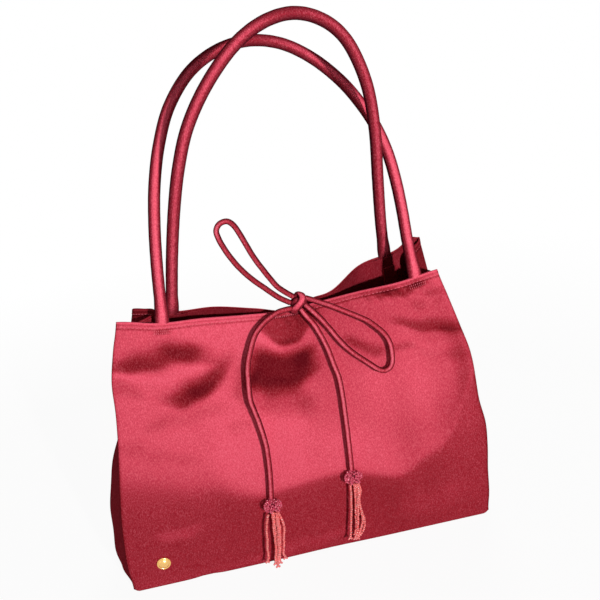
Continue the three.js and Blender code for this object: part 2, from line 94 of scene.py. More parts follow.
BULGE_UP = [0.8, 1, 1, 0.95, 0.8, 0.6, 0.35, 0.15, 0.05, 0, 0]
FOLD_UP = [0, 0, 0, 0, 0, 0.06, 0.18, 0.36, 0.58, 0.8, 1]
# Where things lie on their panel: across from -1 to 1, and up from 0 to 1
FRONT_HANDLE_AT, BACK_HANDLE_AT = (-0.729, 0.853), (-0.76, 0.678)
STUD_AT = (-0.812, 0.1)
TAB_AT = (0.69, 0.96)
# Handle outlines: across as shares of half the span, and up as shares of the drop
FRONT_HANDLE_OUTLINE = [
    [-1, 0], [-0.965, 0.2], [-0.93, 0.35], [-0.876, 0.5], [-0.785, 0.655], [-0.655, 0.797],
    [-0.445, 0.919], [-0.195, 0.985], [0.045, 1], [0.27, 0.973], [0.485, 0.903], [0.688, 0.794],
    [0.815, 0.692], [0.904, 0.591], [0.958, 0.485], [0.984, 0.37], [0.993, 0.25], [0.992, 0.12], [1, 0]]
BACK_HANDLE_OUTLINE = [
    [-1, 0], [-0.92, 0.206], [-0.828, 0.401], [-0.737, 0.547], [-0.615, 0.684], [-0.431, 0.809],
    [-0.192, 0.918], [-0.016, 0.969], [0.152, 0.995], [0.315, 1], [0.475, 0.981], [0.632, 0.937],
    [0.749, 0.878], [0.84, 0.799], [0.923, 0.682], [0.965, 0.526], [0.973, 0.323], [0.983, 0.12], [1, 0]]
KNOT_CENTRE = np.array([15.25, -28.13, 251.23])

# Routes of the tie cord, as in the part's source
LEFT_LOOP = np.array([
    [11.5, -28.8, 257], [6.8, -29, 261], [-1.2, -30.5, 269.3], [-7.3, -31, 279.2], [-13, -32, 289.8],
    [-18.3, -33, 300.5], [-22.6, -34, 311], [-27.4, -34.7, 323.5], [-32, -35.4, 333], [-37, -36.1, 337.2],
    [-43.2, -36.8, 336.3], [-46.9, -37, 331], [-46, -37, 324], [-42.8, -36.2, 314.8], [-38, -35.5, 304.5],
    [-32, -34.5, 294], [-23.5, -33, 282.5], [-13, -31.5, 271], [-1.5, -30, 259.2], [8, -28.9, 251.9]])
RIGHT_LOOP = np.array([
    [22.6, -29, 253.6], [32, -33.5, 250], [45.5, -38, 243.5], [54, -39.5, 238.5], [63, -41, 233],
    [73, -42.5, 226.5], [80.5, -43, 219], [87, -43.5, 211], [91, -44, 201], [91.8, -44.5, 191.5],
    [91.2, -45, 184], [88.8, -45, 178.6], [83.6, -45, 176.4], [78, -44.5, 178.6], [69, -42.5, 186.5],
    [60.5, -41.5, 194.5], [53.5, -40.5, 202], [46.5, -39, 211.5], [40, -37, 222.5], [33, -36, 233.5],
    [26.5, -34.2, 242], [21.3, -30.4, 247.8]])
LEFT_TAIL = np.array([
    [9.4, -30.5, 246.7], [4, -32, 247.4], [-5, -32.5, 246.2], [-18, -35, 240], [-27.5, -38.5, 232],
    [-34, -42, 219.5], [-38.5, -44.5, 206.5], [-40.5, -46.5, 189.5], [-41, -48, 175], [-39.2, -48.5, 164.7],
    [-37, -49, 154.5], [-34.9, -49.9, 141.7], [-33.5, -51, 128.5], [-33.4, -52.4, 116.2], [-34, -54, 103],
    [-35.1, -55.7, 91], [-36.5, -57.5, 78]])
RIGHT_TAIL = np.array([
    [16.7, -30.5, 244.6], [20, -32.6, 238.6], [25.5, -34, 230], [31, -36.5, 217.5], [35, -39, 205],
    [36.6, -40, 198.3], [38, -41, 191.5], [41, -43, 179], [41.9, -44.7, 167.6], [42.2, -46.5, 155.5],
    [42.1, -48, 146], [42, -49.5, 136.5], [41.8, -51.5, 124.1], [41.5, -53.5, 111.5], [41.1, -55.2, 100.9],
    [40.7, -57, 89.5]])
FRONT_STEM = np.array([
    [12.4, -20.7, 220], [12.4, -19.8, 226], [12.4, -18.5, 232], [12.4, -17, 238], [12.4, -16.2, 243],
    [12.4, -18.4, 248], [12.5, -22.1, 249.8]])
BACK_STEM = np.array([
    [18.1, -8.8, 220], [18.1, -10.9, 226], [18.1, -13.2, 232], [18.1, -15.4, 238], [18.1, -16.6, 243],
    [18.1, -18.5, 247.9], [18, -22.1, 249.8]])


def smooth(value, low, high):
    """A smooth step from 0 at low to 1 at high."""
    t = np.clip((value - low) / (high - low), 0, 1)
    return t * t * (3 - 2 * t)


def mix(a, b, t):
    return a + (b - a) * t


def unit(vectors):
    return vectors / np.maximum(np.linalg.norm(vectors, axis=-1, keepdims=True), 1e-12)


def along(table, t):
    """A smooth curve through evenly spaced table values: each span is a cubic whose end slopes are half the
    difference of the values on either side."""
    table = np.asarray(table, float)
    last = len(table) - 1
    place = np.clip(t, 0, 1) * last
    i = np.minimum(place.astype(int), last - 1)
    f = place - i
    first = (table[i + 1] - table[np.maximum(i - 1, 0)]) / 2
    second = (table[np.minimum(i + 2, last)] - table[i]) / 2
    rise = table[i + 1] - table[i]
    return table[i] + f * (first + f * (3 * rise - 2 * first - second + f * (first + second - 2 * rise)))


def rounded(share):
    """A quarter circle: 0 at an edge, where share is 0, and 1 from share 1 on."""
    return np.sqrt(np.clip(1 - (1 - np.clip(share, 0, 1)) ** 2, 0, 1))


def run_along(path):
    """The length run at each point of a path."""
    return np.concatenate([[0], np.cumsum(np.linalg.norm(np.diff(path, axis=0), axis=1))])


def stand(data, turn, place):
    """A camera or lamp whose axes are the columns of turn, at a place in metres."""
    thing = bpy.data.objects.new(data.name, data)
    bpy.context.scene.collection.objects.link(thing)
    thing.matrix_world = Matrix(np.vstack([np.column_stack([turn, place]), [0, 0, 0, 1]]).tolist())
    return thing


def place_camera():
    """The camera stands where the corners of the bag in the photograph put it, with no shift."""
    data = bpy.data.cameras.new("camera")
    data.lens, data.sensor_width, data.clip_start, data.clip_end = 59.204, 36, 0.05, 30
    right, up = np.array([0.97255, -0.20159, -0.11624]), np.array([0.18197, 0.34746, 0.91987])
    place = np.array([-108.71, -824.19, 577.82]) * MM
    bpy.context.scene.camera = stand(data, np.stack([right, up, np.cross(right, up)], 1), place)


def add_lamp(name, place, aim, size, power):
    """A square white area lamp that looks from place to aim."""
    data = bpy.data.lights.new(name, "AREA")
    data.shape, data.size, data.energy = "SQUARE", size, power
    back = unit(np.subtract(place, aim))
    side = unit(np.cross([0, 0, 1], back))
    stand(data, np.stack([side, np.cross(back, side), back], 1), place)


class Value:
    """A value of a shader: an expression on it adds its Math nodes."""

    def __init__(self, finish, socket):
        self.finish, self.socket = finish, socket

    def __add__(self, other):
        return self.finish.math("ADD", self, other)

    def __sub__(self, other):
        return self.finish.math("SUBTRACT", self, other)

    def __rsub__(self, other):
        return self.finish.math("SUBTRACT", other, self)

    def __mul__(self, other):
        return self.finish.math("MULTIPLY", self, other)


class Finish:
    """The nodes of a material or of the world, which all come from node()."""

    def __init__(self, owner):
        owner.use_nodes = True
        self.owner, self.tree = owner, owner.node_tree
        self.tree.nodes.clear()

    def node(self, kind, settings=None, sockets=None, output=0):
        """One node: its settings first, such as a ramp's stops, then the values or links of its sockets."""
        made = self.tree.nodes.new("ShaderNode" + kind)
        for name, value in (settings or {}).items():
            if name == "stops":
                ramp = made.color_ramp.elements
                for k, (position, tone) in enumerate(value):
                    stop = ramp[k] if k < len(ramp) else ramp.new(position)
                    stop.position, stop.color = position, tone
            else:
                setattr(made, name, value)
        for name, value in (sockets or {}).items():
            if isinstance(value, Value):
                self.tree.links.new(value.socket, made.inputs[name])
            else:
                made.inputs[name].default_value = value
        return Value(self, made.outputs[output]) if made.outputs else None

    def math(self, operation, first, second):
        return self.node("Math", {"operation": operation}, {0: first, 1: second})

    def place(self, scale, output="Object"):
        """The piece's own coordinates, in metres, times a scale for each axis."""
        return self.node("Mapping", None, {"Vector": self.node("TexCoord", output=output), "Scale": scale})

    def noise(self, scale, detail, where="Object"):
        """Noise from 0 to 1, with scale in features a metre along each axis."""
        return self.node("TexNoise", None, {
            "Vector": self.place(scale, where), "Scale": 1.0, "Detail": detail})

    def blend(self, share, low, high):
        """A colour between low and high."""
        return self.node("Mix", {"data_type": "RGBA"}, {0: share, 6: low, 7: high}, output=2)

    def bounded(self, value, low, high, first=0.0, last=1.0):
        """value, carried from low to high onto first to last, and held there."""
        return self.node("MapRange", None, {
            "Value": value, "From Min": low, "From Max": high, "To Min": first, "To Max": last})

    def seen(self):
        """1 for the camera's rays, for glossy rays and for transmitted ones, and 0 for all others."""
        camera, glossy, through = (
            self.node("LightPath", output=f"Is {kind} Ray") for kind in ("Camera", "Glossy", "Transmission"))
        return self.math("MAXIMUM", self.math("MAXIMUM", camera, glossy), through)

    def surface(self, height, strength, distance, **sockets):
        """The shader: a bump from height, and the named sockets."""
        bump = self.node("Bump", None, {"Height": height, "Strength": strength, "Distance": distance})
        named = {name.replace("_", " "): value for name, value in sockets.items()}
        return self.end("Material", self.node("BsdfPrincipled", None, {**named, "Normal": bump}))

    def end(self, kind, shader):
        self.node("Output" + kind, None, {"Surface": shader})
        return self.owner


def new_finish(name):
    return Finish(bpy.data.materials.new(name))


def colour(red, green, blue):
    """A written colour, 0 to 255, as the shader's linear values."""
    value = np.array([red, green, blue]) / 255
    value = np.where(value <= 0.04045, value / 12.92, ((value + 0.055) / 1.055) ** 2.4)
    return (*value.tolist(), 1.0)


def satin_finish(name, shades, grainy=0.3, roughness=0.45):
    """Satin whose colour is a ramp read by each point's painted light, so that its highlights and shade are
    painted into it, with fine threads across the cloth and a millimetre speckle that also carries painted
    glints. shades are the places and tones of the ramp, from painted shade to painted highlight."""
    finish = new_finish(name)
    painted_light = finish.node("Attribute", {"attribute_name": "painted_light"}, output=2)
    threads = finish.noise((260, 2400, 1), 2, "UV")
    speckle = finish.noise((1300, 1300, 560), 2)
    slow = finish.noise((22, 22, 22), 3)
    grain = finish.bounded(speckle, 0.3, 0.7) * 0.55 + finish.bounded(threads, 0.3, 0.7) * 0.25 + slow * 0.2
    stops = [(place, colour(*tone)) for place, tone in shades]
    shade = finish.node("ValToRGB", {"stops": stops}, {"Fac": painted_light + (grain - 0.5) * grainy})
    # Painted glints: lighter flecks of the speckle, stronger where the painted light is brighter.
    glints = finish.bounded(speckle, 0.45, 0.75) * (painted_light + 0.15) * 0.14
    return finish.surface(
        speckle * 0.5 + threads * 0.5, 0.35, 0.00012,
        Base_Color=finish.blend(glints, shade, colour(255, 170, 180)), Metallic=0.05,
        Roughness=finish.bounded(grain, 0, 1, roughness + 0.05, roughness - 0.04),
        Sheen_Weight=0.02, Sheen_Roughness=0.35, Sheen_Tint=colour(255, 150, 170),
        Specular_IOR_Level=0.0, Specular_Tint=colour(235, 110, 130))


def lining_finish():
    """Plain woven lining: crossed threads, dark and matt."""
    finish = new_finish("lining cloth")
    weave = finish.noise((1800, 160, 1), 1, "UV") * 0.5 + finish.noise((160, 1800, 1), 1, "UV") * 0.5
    return finish.surface(
        weave, 0.4, 0.00015, Base_Color=finish.blend(weave, colour(38, 8, 14), colour(74, 18, 28)),
        Roughness=finish.bounded(weave, 0.3, 0.7, 0.9, 0.75), Sheen_Weight=0.1, Specular_IOR_Level=0.2)


def plain_finish(name, low, high, scale, roughness, bump=0.3, distance=0.0002, **sockets):
    """A finish with one noise for its colour, gloss and relief."""
    finish = new_finish(name)
    grain = finish.noise((scale, scale, scale), 3)
    return finish.surface(
        grain, bump, distance, Base_Color=finish.blend(grain, colour(*low), colour(*high)),
        Roughness=finish.bounded(grain, 0.3, 0.7, roughness + 0.06, roughness - 0.06), **sockets)


# Ramps from painted shade to painted highlight, read by each point's painted light: the satin, the facings'
# satin in shade, the cords and the handles.
SATIN_FINISH = satin_finish("satin", [
    (0, (92, 10, 20)), (0.2, (116, 18, 28)), (0.34, (136, 26, 37)), (0.5, (154, 36, 49)),
    (0.72, (188, 56, 74)), (0.95, (215, 74, 94)), (1, (224, 81, 103))])
INSIDE_FINISH = satin_finish(
    "satin in shade", [(0, (92, 14, 23)), (0.5, (150, 32, 46)), (1, (214, 68, 88))], roughness=0.5)
CORD_FINISH = satin_finish("satin piping", [
    (0, (66, 7, 16)), (0.35, (98, 15, 27)), (0.62, (138, 27, 40)), (0.84, (170, 42, 57)),
    (0.95, (210, 80, 99)), (1, (230, 102, 121))], 0.16)
HANDLE_FINISH = satin_finish("satin of the handles", [
    (0, (80, 15, 27)), (0.3, (106, 21, 34)), (0.74, (148, 33, 48)), (0.93, (224, 79, 101)),
    (1, (242, 96, 118))], 0.18)
LINING_FINISH = lining_finish()
THREAD_FINISH = plain_finish(
    "sewing thread", (202, 72, 90), (244, 130, 146), 3000, 0.6, Specular_IOR_Level=0.2)
BOARD_FINISH = plain_finish("grey board", (150, 144, 134), (172, 166, 156), 900, 0.85)
FILLER_FINISH = plain_finish("rope filling", (214, 206, 192), (238, 232, 220), 1500, 0.9, 0.6, 0.0004)
DARK_BEAD_FINISH = plain_finish(
    "dark red beads", (184, 34, 66), (238, 92, 124), 700, 0.22, 0.1, 0.00005,
    Coat_Weight=0.5, Coat_Roughness=0.1)
CORAL_BEAD_FINISH = plain_finish(
    "coral beads", (234, 34, 46), (255, 160, 156), 620, 0.25, 0.1, 0.00005,
    Coat_Weight=0.6, Coat_Roughness=0.12, Subsurface_Weight=0.4, Subsurface_Radius=(0.004, 0.001, 0.001))
GILT_FINISH = plain_finish("gilt", (232, 176, 96), (252, 208, 136), 1200, 0.24, 0.12, 0.00004, Metallic=1.0)


# Fixed directions in the bag's own frame toward which the cloth, the handles and the cords are painted
# brightest: highlight and shade painted into their colour, so that a face turned away from its own is painted
# darker. HALF_ROUND turns them to the back.
PAINTED_LIGHT_DIRECTION, TUBE_PAINTED_LIGHT_DIRECTION, CORD_PAINTED_LIGHT_DIRECTION = unit(np.array([[0.22, -0.87, 0.44], [0.03, -0.95, 0.31], [-0.3, -0.9, 0.32]]))
HALF_ROUND = np.array([-1, -1, 1])


def facing_painted_light(normal, lit_direction):
    """The normal's share of the painted light direction, or of that direction at the back where that is more.
    """
    return np.maximum(normal @ lit_direction, normal @ (lit_direction * HALF_ROUND))


def painted_light_of(share, low, high):
    """Painted light and shade: a share of the painted light direction, carried from low to high onto 0 to 1.
    """
    return np.clip((share - low) / (high - low), 0, 1)


def put(name, points, faces, finish, slot=None, body="bag", node=None, uv=None, painted_light=None):
    """A piece from points in millimetres and arrays of corner numbers. It rides on a body and stands for a
    node of the frame."""
    mesh = bpy.data.meshes.new(name)
    listed = [face for block in faces for face in block.tolist()]
    mesh.from_pydata((np.asarray(points) * MM).tolist(), [], listed)
    mesh.update()
    mesh.shade_smooth()
    if uv is not None:
        corner = np.empty(len(mesh.loops), np.int32)
        mesh.loops.foreach_get("vertex_index", corner)
        mesh.uv_layers.new(name="UVMap").data.foreach_set("uv", (np.asarray(uv) * MM)[corner].ravel())
    # Each point's painted light and shade, from 0 to 1, which the satin finishes read.
    if painted_light is not None:
        values = mesh.attributes.new("painted_light", "FLOAT", "POINT").data
        values.foreach_set("value", np.ravel(painted_light).astype(np.float32))
    mesh.materials.append(finish)
    piece = bpy.data.objects.new(name, mesh)
    bpy.context.scene.collection.objects.link(piece)
    if body:
        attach(piece, body)
    if node:
        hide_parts(node)
    return piece


def cells(rows, columns, start=0, flip=False, round_rows=False, round_columns=False):
    """Corner numbers of the cells of a grid whose points run along each row in turn."""
    i = np.arange(columns if round_columns else columns - 1)[None, :]
    j = np.arange(rows if round_rows else rows - 1)[:, None]
    right, above = (i + 1) % columns, (j + 1) % rows
    corners = [j * columns + i, j * columns + right, above * columns + right, above * columns + i]
    found = np.stack(np.broadcast_arrays(*corners), -1).reshape(-1, 4) + start
    return found[:, ::-1] if flip else found


def fan(ring, centre, flip=False):
    """Triangles from a ring of corner numbers to one corner."""
    sides = [ring, np.roll(ring, -1)]
    return np.stack([*(sides[::-1] if flip else sides), np.full(len(ring), centre)], -1)


def capped(rings):
    """The points and faces of a stack of rings, closed at each end by a fan to the end ring's middle."""
    rows, sides = rings.shape[:2]
    points = np.concatenate([rings.reshape(-1, 3), [rings[0].mean(0), rings[-1].mean(0)]])
    start, around = rows * sides, np.arange(sides)
    return points, [cells(rows, sides, round_columns=True), fan(around, start, True),
                    fan(start - sides + around, start + 1)]


def side_depth(foot, belly, rim, crease, v, reach=CREASE_ROUNDING):
    """Depth of a side of the bag: it leans out up to the crease and in above it, the larger of the two lines,
    rounded where they meet over a reach that fades to none at the foot and the rim."""
    lower = -foot - belly * v / crease
    upper = mix(-foot - belly, rim, (v - crease) / (1 - crease))
    edge = np.minimum(v, 1 - v)
    rounding = reach * edge / (edge + reach / BAG_HEIGHT)
    half = (lower - upper) / 2
    return (lower + upper) / 2 + np.sqrt(half * half + rounding * rounding / 4)


def left_softness(t):
    """How many times CREASE_ROUNDING the front's fold line is rounded: 4 at its left end, and 1 from before
    the middle on."""
    return 1 + 3 * (1 - smooth(t, 0.1, 0.42))


def front_base(u, v):
    """The front before it creases: u is -1 to 1 across and v 0 to 1 up; the width narrows to the mouth and
    swells by the tables."""
    t = (u + 1) / 2
    half = mix(BASE_WIDTH, FRONT_MOUTH_WIDTH, v) / 2
    left, right = -half - SIDE_SWELL * along(LEFT_SWELL, v), half + SIDE_SWELL * along(RIGHT_SWELL, v)
    rim = BASE_DEPTH / 2 * along(FRONT_RIM_DEPTH, t)
    crease, reach = along(FRONT_CREASE, t), CREASE_ROUNDING * left_softness(t)
    y = side_depth(BASE_DEPTH / 2, FRONT_BELLY, rim, crease, v, reach)
    return np.stack([mix(left, right, t), y, v * BAG_HEIGHT * along(FRONT_RIM_HEIGHT, t)], -1)


def back_base(u, v):
    """The back before it creases, made as the front is, with the mouth moved to the right."""
    t = (u + 1) / 2
    half = mix(BASE_WIDTH, BACK_MOUTH_WIDTH, v) / 2 + SIDE_SWELL * along(BACK_SWELL, v)
    rim = -BASE_DEPTH / 2 * along(BACK_RIM_DEPTH, t)
    y = -side_depth(BASE_DEPTH / 2, BACK_BELLY, rim, along(BACK_CREASE, t), v)
    return np.stack([BACK_MOUTH_SHIFT * v + u * half, y, v * BAG_HEIGHT * along(BACK_RIM_HEIGHT, t)], -1)


def hill(value, centre, reach):
    """A smooth hill, 1 at its centre and near 0 past twice its reach."""
    return np.exp(-((value - centre) / reach) ** 2)


def outward(surface, u, v, turn):
    """The unit normal: the cross product of the surface's small steps across and up."""
    e = 2e-3
    across = surface(np.minimum(u + e, 1), v) - surface(np.maximum(u - e, -1), v)
    up = surface(u, np.minimum(v + e, 1)) - surface(u, np.maximum(v - e, 0))
    return unit(np.cross(across, up)) * turn


def patch(x, z, centre_x, centre_z, half_length, half_width, tilt, bend, slope, lower_soft, upper_soft):
    """A crease's slope: a tilted lens whose middle line rises by bend at its ends, with its own softness
    below and above, both as shares of its half width. Small waves keep its outline uneven."""
    x, z = (x + 2.2 * np.sin(z / 8.5 + x / 31) + 1.1 * np.sin(z / 3.7 - x / 15),
            z + 1.9 * np.sin(x / 9.5 + z / 27) + 0.9 * np.sin(x / 4.1 + z / 13))
    angle = np.radians(tilt)
    a = ((x - centre_x) * np.cos(angle) + (z - centre_z) * np.sin(angle)) / half_length
    b = (-(x - centre_x) * np.sin(angle) + (z - centre_z) * np.cos(angle) - bend * a * a) / half_width
    b = b / (0.3 + 0.7 * np.sqrt(np.clip(1 - 0.8 * a * a, 0, 1)))
    rise = smooth(b, -1 - lower_soft, -1 + lower_soft) * smooth(-b, -1 - upper_soft, -1 + upper_soft)
    return slope * rise * (1 - smooth(np.abs(a), 0.5, 1.2))


# Points of the tables that creases are read from, and the width that they cover
TABLE_ACROSS, TABLE_UP, TABLE_WIDTH = 241, 221, 310.0

# Creases of the front: x, z, half length, half width, tilt in degrees, bend, slope, softness below and above.
# Each slope leans the painted light and shade in full, and the cloth by a share of its relief.
FRONT_PATCHES = [
    (-110, 228, 48, 10.3, -4, -7, 0.19, 0.5, 1.0), (-96, 227, 19, 8.8, -15, 0, 0.07, 0.8, 0.9),
    (-130, 224, 21, 5.9, -13, 0, 0.04, 0.4, 0.9), (-137, 214, 25, 2.4, -15, 0, -0.10, 0.7, 0.7),
    (-91, 207, 27, 4.9, -1, 0, -0.05, 0.8, 0.8), (-81, 191, 35, 10.3, 24, 11, 0.27, 0.5, 1.0),
    (-78, 188, 16, 5.9, 11, 0, 0.06, 0.8, 0.8), (-144, 203, 14, 6.9, -29, 0, 0.08, 0.9, 0.9),
    (-95, 170, 35, 7.8, -1, 0, 0.06, 0.9, 0.9), (-126, 165, 11, 5.9, 11, 0, 0.05, 0.8, 0.8),
    (-149, 150, 12, 7.8, -9, 0, 0.05, 0.8, 0.8), (-52, 148, 12, 6.9, 21, 0, 0.05, 0.8, 0.8),
    (3, 228, 27, 14.7, -11, 13, 0.29, 0.2, 0.3), (-1, 209, 23, 3.9, -11, 10, -0.04, 0.8, 0.8),
    (-9, 191, 34, 20.6, -7, 8, 0.37, 0.6, 0.6), (15, 202, 12, 7.8, 51, 0, 0.05, 0.7, 0.7),
    (-9, 161, 30, 13.7, -9, 0, 0.16, 0.9, 0.9), (-41, 182, 12, 16.7, -9, 0, 0.12, 0.9, 0.9),
    (110, 247, 27, 4.4, 5, 0, 0.17, 0.7, 0.8), (139, 239, 11, 3.9, 5, 0, 0.08, 0.8, 0.8),
    (85, 245, 19, 4.9, 7, 0, 0.06, 0.8, 0.8), (143, 232, 9, 2.9, 31, 0, 0.04, 0.8, 0.8),
    (130, 210, 39, 4.9, -16, 0, 0.14, 0.3, 1.0), (149, 200, 18, 3.9, -19, 0, 0.05, 0.4, 0.8),
    (121, 231, 9, 3.9, -29, 0, 0.05, 0.8, 0.8), (137, 190, 21, 3.9, -17, 0, -0.05, 0.8, 0.8),
    (70, 201, 21, 5.4, -37, 0, 0.13, 0.6, 1.0), (88, 191, 11, 4.4, -17, 0, 0.06, 0.8, 0.8),
    (104, 193, 15, 3.9, 3, 0, 0.11, 0.6, 0.9), (153, 179, 11, 6.9, 11, 0, 0.06, 0.9, 0.9),
    (-124, 55, 21, 5.9, -1, 0, -0.05, 0.8, 0.8), (116, 31, 39, 11.8, 11, 0, -0.02, 0.9, 0.9),
    (-15, 12, 62, 5.9, 6, 0, -0.03, 0.9, 0.9), (31, 151, 53, 15.7, 1, 0, 0.02, 0.9, 0.9),
    (107, 166, 48, 35.3, -19, 0, -0.08, 0.9, 0.9), (-120, 133, 27, 5.9, -17, 0, 0.04, 0.9, 0.9),
    (44, 114, 35, 9.8, -15, 0, -0.02, 0.9, 0.9),
]
BACK_PATCHES = [
    (-96, 214, 46, 12, 12, 0, 0.16, 0.6, 1.0), (-40, 186, 42, 13, -14, 0, 0.15, 0.7, 1.0),
    (26, 222, 30, 11, 4, 0, 0.18, 0.5, 0.9), (84, 198, 48, 11, 14, 0, 0.17, 0.6, 1.0),
    (112, 160, 32, 11, -30, 0, 0.1, 0.8, 0.9), (-110, 150, 30, 11, 30, 0, 0.09, 0.8, 0.9),
    (20, 130, 60, 12, 4, 0, 0.05, 0.9, 0.9),
]


def creases_of(surface, patches, share, sideways=0.4):
    """Two tables, of how far the cloth stands out and of the patches' own slope; the second leans the painted
    light and shade in full. The first is a share of the relief whose upward slope is nearest to the patches'
    and whose sideways slope is nearest to none, held at the hem and the foot. It is worked out in waves, odd
    up the cloth and even across it: each wave's share is the patches' change up, over its squared pitches."""
    u, v = np.meshgrid(np.linspace(-1, 1, TABLE_ACROSS), np.linspace(0, 1, TABLE_UP))
    place = surface(u, v)
    slope = sum(patch(place[..., 0], place[..., 2], *row) for row in patches)
    tall, wide = BAG_HEIGHT / (TABLE_UP - 1), TABLE_WIDTH / (TABLE_ACROSS - 1)
    change = np.gradient(slope, tall, axis=0)
    change = np.concatenate([change, change[:, ::-1]], 1)
    change = np.concatenate([change, -change[::-1]], 0)
    up = 2 * np.pi * np.fft.fftfreq(len(change), tall)[:, None]
    across = 2 * np.pi * np.fft.fftfreq(change.shape[1], wide)[None, :]
    pitch = up ** 2 + sideways * across ** 2
    pitch[0, 0] = 1
    waves = -np.fft.fft2(change) / pitch
    waves[0, 0] = 0
    relief = np.real(np.fft.ifft2(waves))[:TABLE_UP, :TABLE_ACROSS]
    return share * relief * smooth(v, 0, 0.03) * (1 - smooth(v, 0.975, 1)), slope


def painted_fold_slope():
    """A table of extra slope below the front's fold line, which only leans the painted shade, so the front is
    painted darker there while the cloth itself doesn't take it.
    """
    t = np.linspace(0, 1, TABLE_ACROSS)[None]
    line = along(FRONT_CREASE, t)
    below = smooth((line - np.linspace(0, 1, TABLE_UP)[:, None]) / left_softness(t), -0.008, 0.016)
    return (0.03 + 0.14 * np.clip(line - 0.3, 0, 1)) * below


def read_table(table, u, v):
    """A table over u from -1 to 1 and v from 0 to 1, read between its values in straight lines."""
    rows, columns = table.shape
    a = np.clip((u + 1) / 2, 0, 1) * (columns - 1)
    b = np.clip(v, 0, 1) * (rows - 1)
    i, j = np.minimum(a.astype(int), columns - 2), np.minimum(b.astype(int), rows - 2)
    a, b = a - i, b - j
    return mix(mix(table[j, i], table[j, i + 1], a), mix(table[j + 1, i], table[j + 1, i + 1], a), b)


FRONT_RELIEF, FRONT_SLOPE = creases_of(front_base, FRONT_PATCHES, 0.4)
BACK_RELIEF, BACK_SLOPE = creases_of(back_base, BACK_PATCHES, 0.6)
# The slopes that lean the painted light and shade of the front and the back, with painted shade below the
# front's fold line.
PAINTED_SHADE_SLOPES = {"front": FRONT_SLOPE + painted_fold_slope(), "back": BACK_SLOPE}


def hem_ripple(u, v, seed):
    """Small puckers that run down from the hem's stitches and fade: two waves whose pitch drifts."""
    down = (1 - v) * BAG_HEIGHT
    wave = np.sin(u * 61 + 3 * np.sin(u * 7 + seed) + down * 0.25) + 0.7 * np.sin(u * 97 + seed - down * 0.3)
    wave = wave * (0.4 + 0.6 * np.sin(u * 5.3 + seed) ** 2)
    return 0.08 * wave * smooth(down, 2, 7) * (1 - smooth(down, 9, 20))


def front_cloth(u, v):
    """The front with its creases and puckers; its foot rises a little in two places and at its corners, as
    pressed cloth does."""
    relief = read_table(FRONT_RELIEF, u, v) + hem_ripple(u, v, 1)
    place = front_base(u, v) + outward(front_base, u, v, 1) * relief[..., None]
    foot = 1.5 * hill(u, -0.6, 0.06) + 0.7 * hill(u, 0.1, 0.2) + 3.0 * smooth(np.abs(u), 0.965, 1) ** 2
    place[..., 2] += foot * (1 - smooth(v, 0, 0.08))
    return place


def back_cloth(u, v):
    """The back with its creases and puckers; its rim stands a little higher to the right of the knot and
    before its right corner."""
    relief = read_table(BACK_RELIEF, u, v) + hem_ripple(u, v, 2)
    place = back_base(u, v) + outward(back_base, u, v, -1) * relief[..., None]
    rise = 4.5 * hill(u, 0.12, 0.08) + 3.2 * hill(u, 0.9, 0.06) - 1.5 * smooth(u, 0.93, 1)
    place[..., 2] += rise * smooth(v, 0.8, 1)
    return place


def gusset_cloth(side, fold, u, v):
    """A gusset: straight from the front's edge to the back's, pushed out low and in high by the tables, as a
    squared cosine of u, with two small waves that follow the fold. Its rim dips next to the front."""
    edge = np.full_like(u, side)
    front, back = front_cloth(edge, v), back_cloth(edge, v)
    run = back - front
    length = np.linalg.norm(run, axis=-1)
    at = GUSSET_INSET + (u + 1) / 2 * (length - 2 * GUSSET_INSET)
    middle = np.cos(u * np.pi / 2) ** 2
    folded = along(FOLD_UP, v)
    push = GUSSET_BULGE * along(BULGE_UP, v) - fold * folded
    wave = 0.9 * np.sin(u * 5.2 + side + v * 3) * np.sin(v * 13 + side) * (1 - folded)
    wave += 0.5 * np.sin(v * 31 + u * 4)
    place = front + unit(run) * at[..., None]
    dip = GUSSET_DIP * smooth(v, 0.8, 1) * np.clip((u + 1) / 0.25, 0, 1) * (1 - smooth(u, -0.6, 0.3))
    place[..., 2] -= dip
    place[..., 0] += side * (push + wave * smooth(v, 0, 0.1) * (1 - smooth(v, 0.9, 1))) * middle
    return place


def left_gusset(u, v):
    return gusset_cloth(-1, LEFT_FOLD, u, v)


def right_gusset(u, v):
    return gusset_cloth(1, RIGHT_FOLD, u, v)


# Each side of the body: its surface, which way that turns, and its width; and the two without their creases
SURFACES = {"front": (front_cloth, 1, 300.0), "back": (back_cloth, -1, 300.0),
            "left": (left_gusset, -1, 92.0), "right": (right_gusset, 1, 92.0)}
BASES = {"front": (front_base, 1), "back": (back_base, -1)}


def under(surface, u, v, depth):
    """A point below the front or the back without its creases."""
    point, turn = BASES[surface]
    u, v = np.array(float(u)), np.array(float(v))
    return point(u, v) - outward(point, u, v, turn) * depth


def near_handle(u, places, reach=0.085):
    return sum(np.exp(-((u - place) / reach) ** 4) for place in places)


def hemmed(u, v, down):
    """A panel's depth and thickness: satin, turned in over 5 mm at the hem, with a groove of stitches."""
    hem = 1 - smooth(down, 4.6, 6.2)
    groove = hill(down, STITCH_LINE, 0.7)
    return -0.25 * hem + 0.3 * groove, SATIN + 0.75 * hem - 0.25 * groove


def facing_shape(places, deep):
    """A facing lies at its depth and comes out to the hem over its last 14 mm, except round the handles."""
    def shape(u, v, down):
        closed = (1 - smooth(down, 1, 14)) * (1 - np.clip(near_handle(u, places), 0, 1))
        return deep - (deep - 1.75) * closed, np.full_like(u, LINING)
    return shape


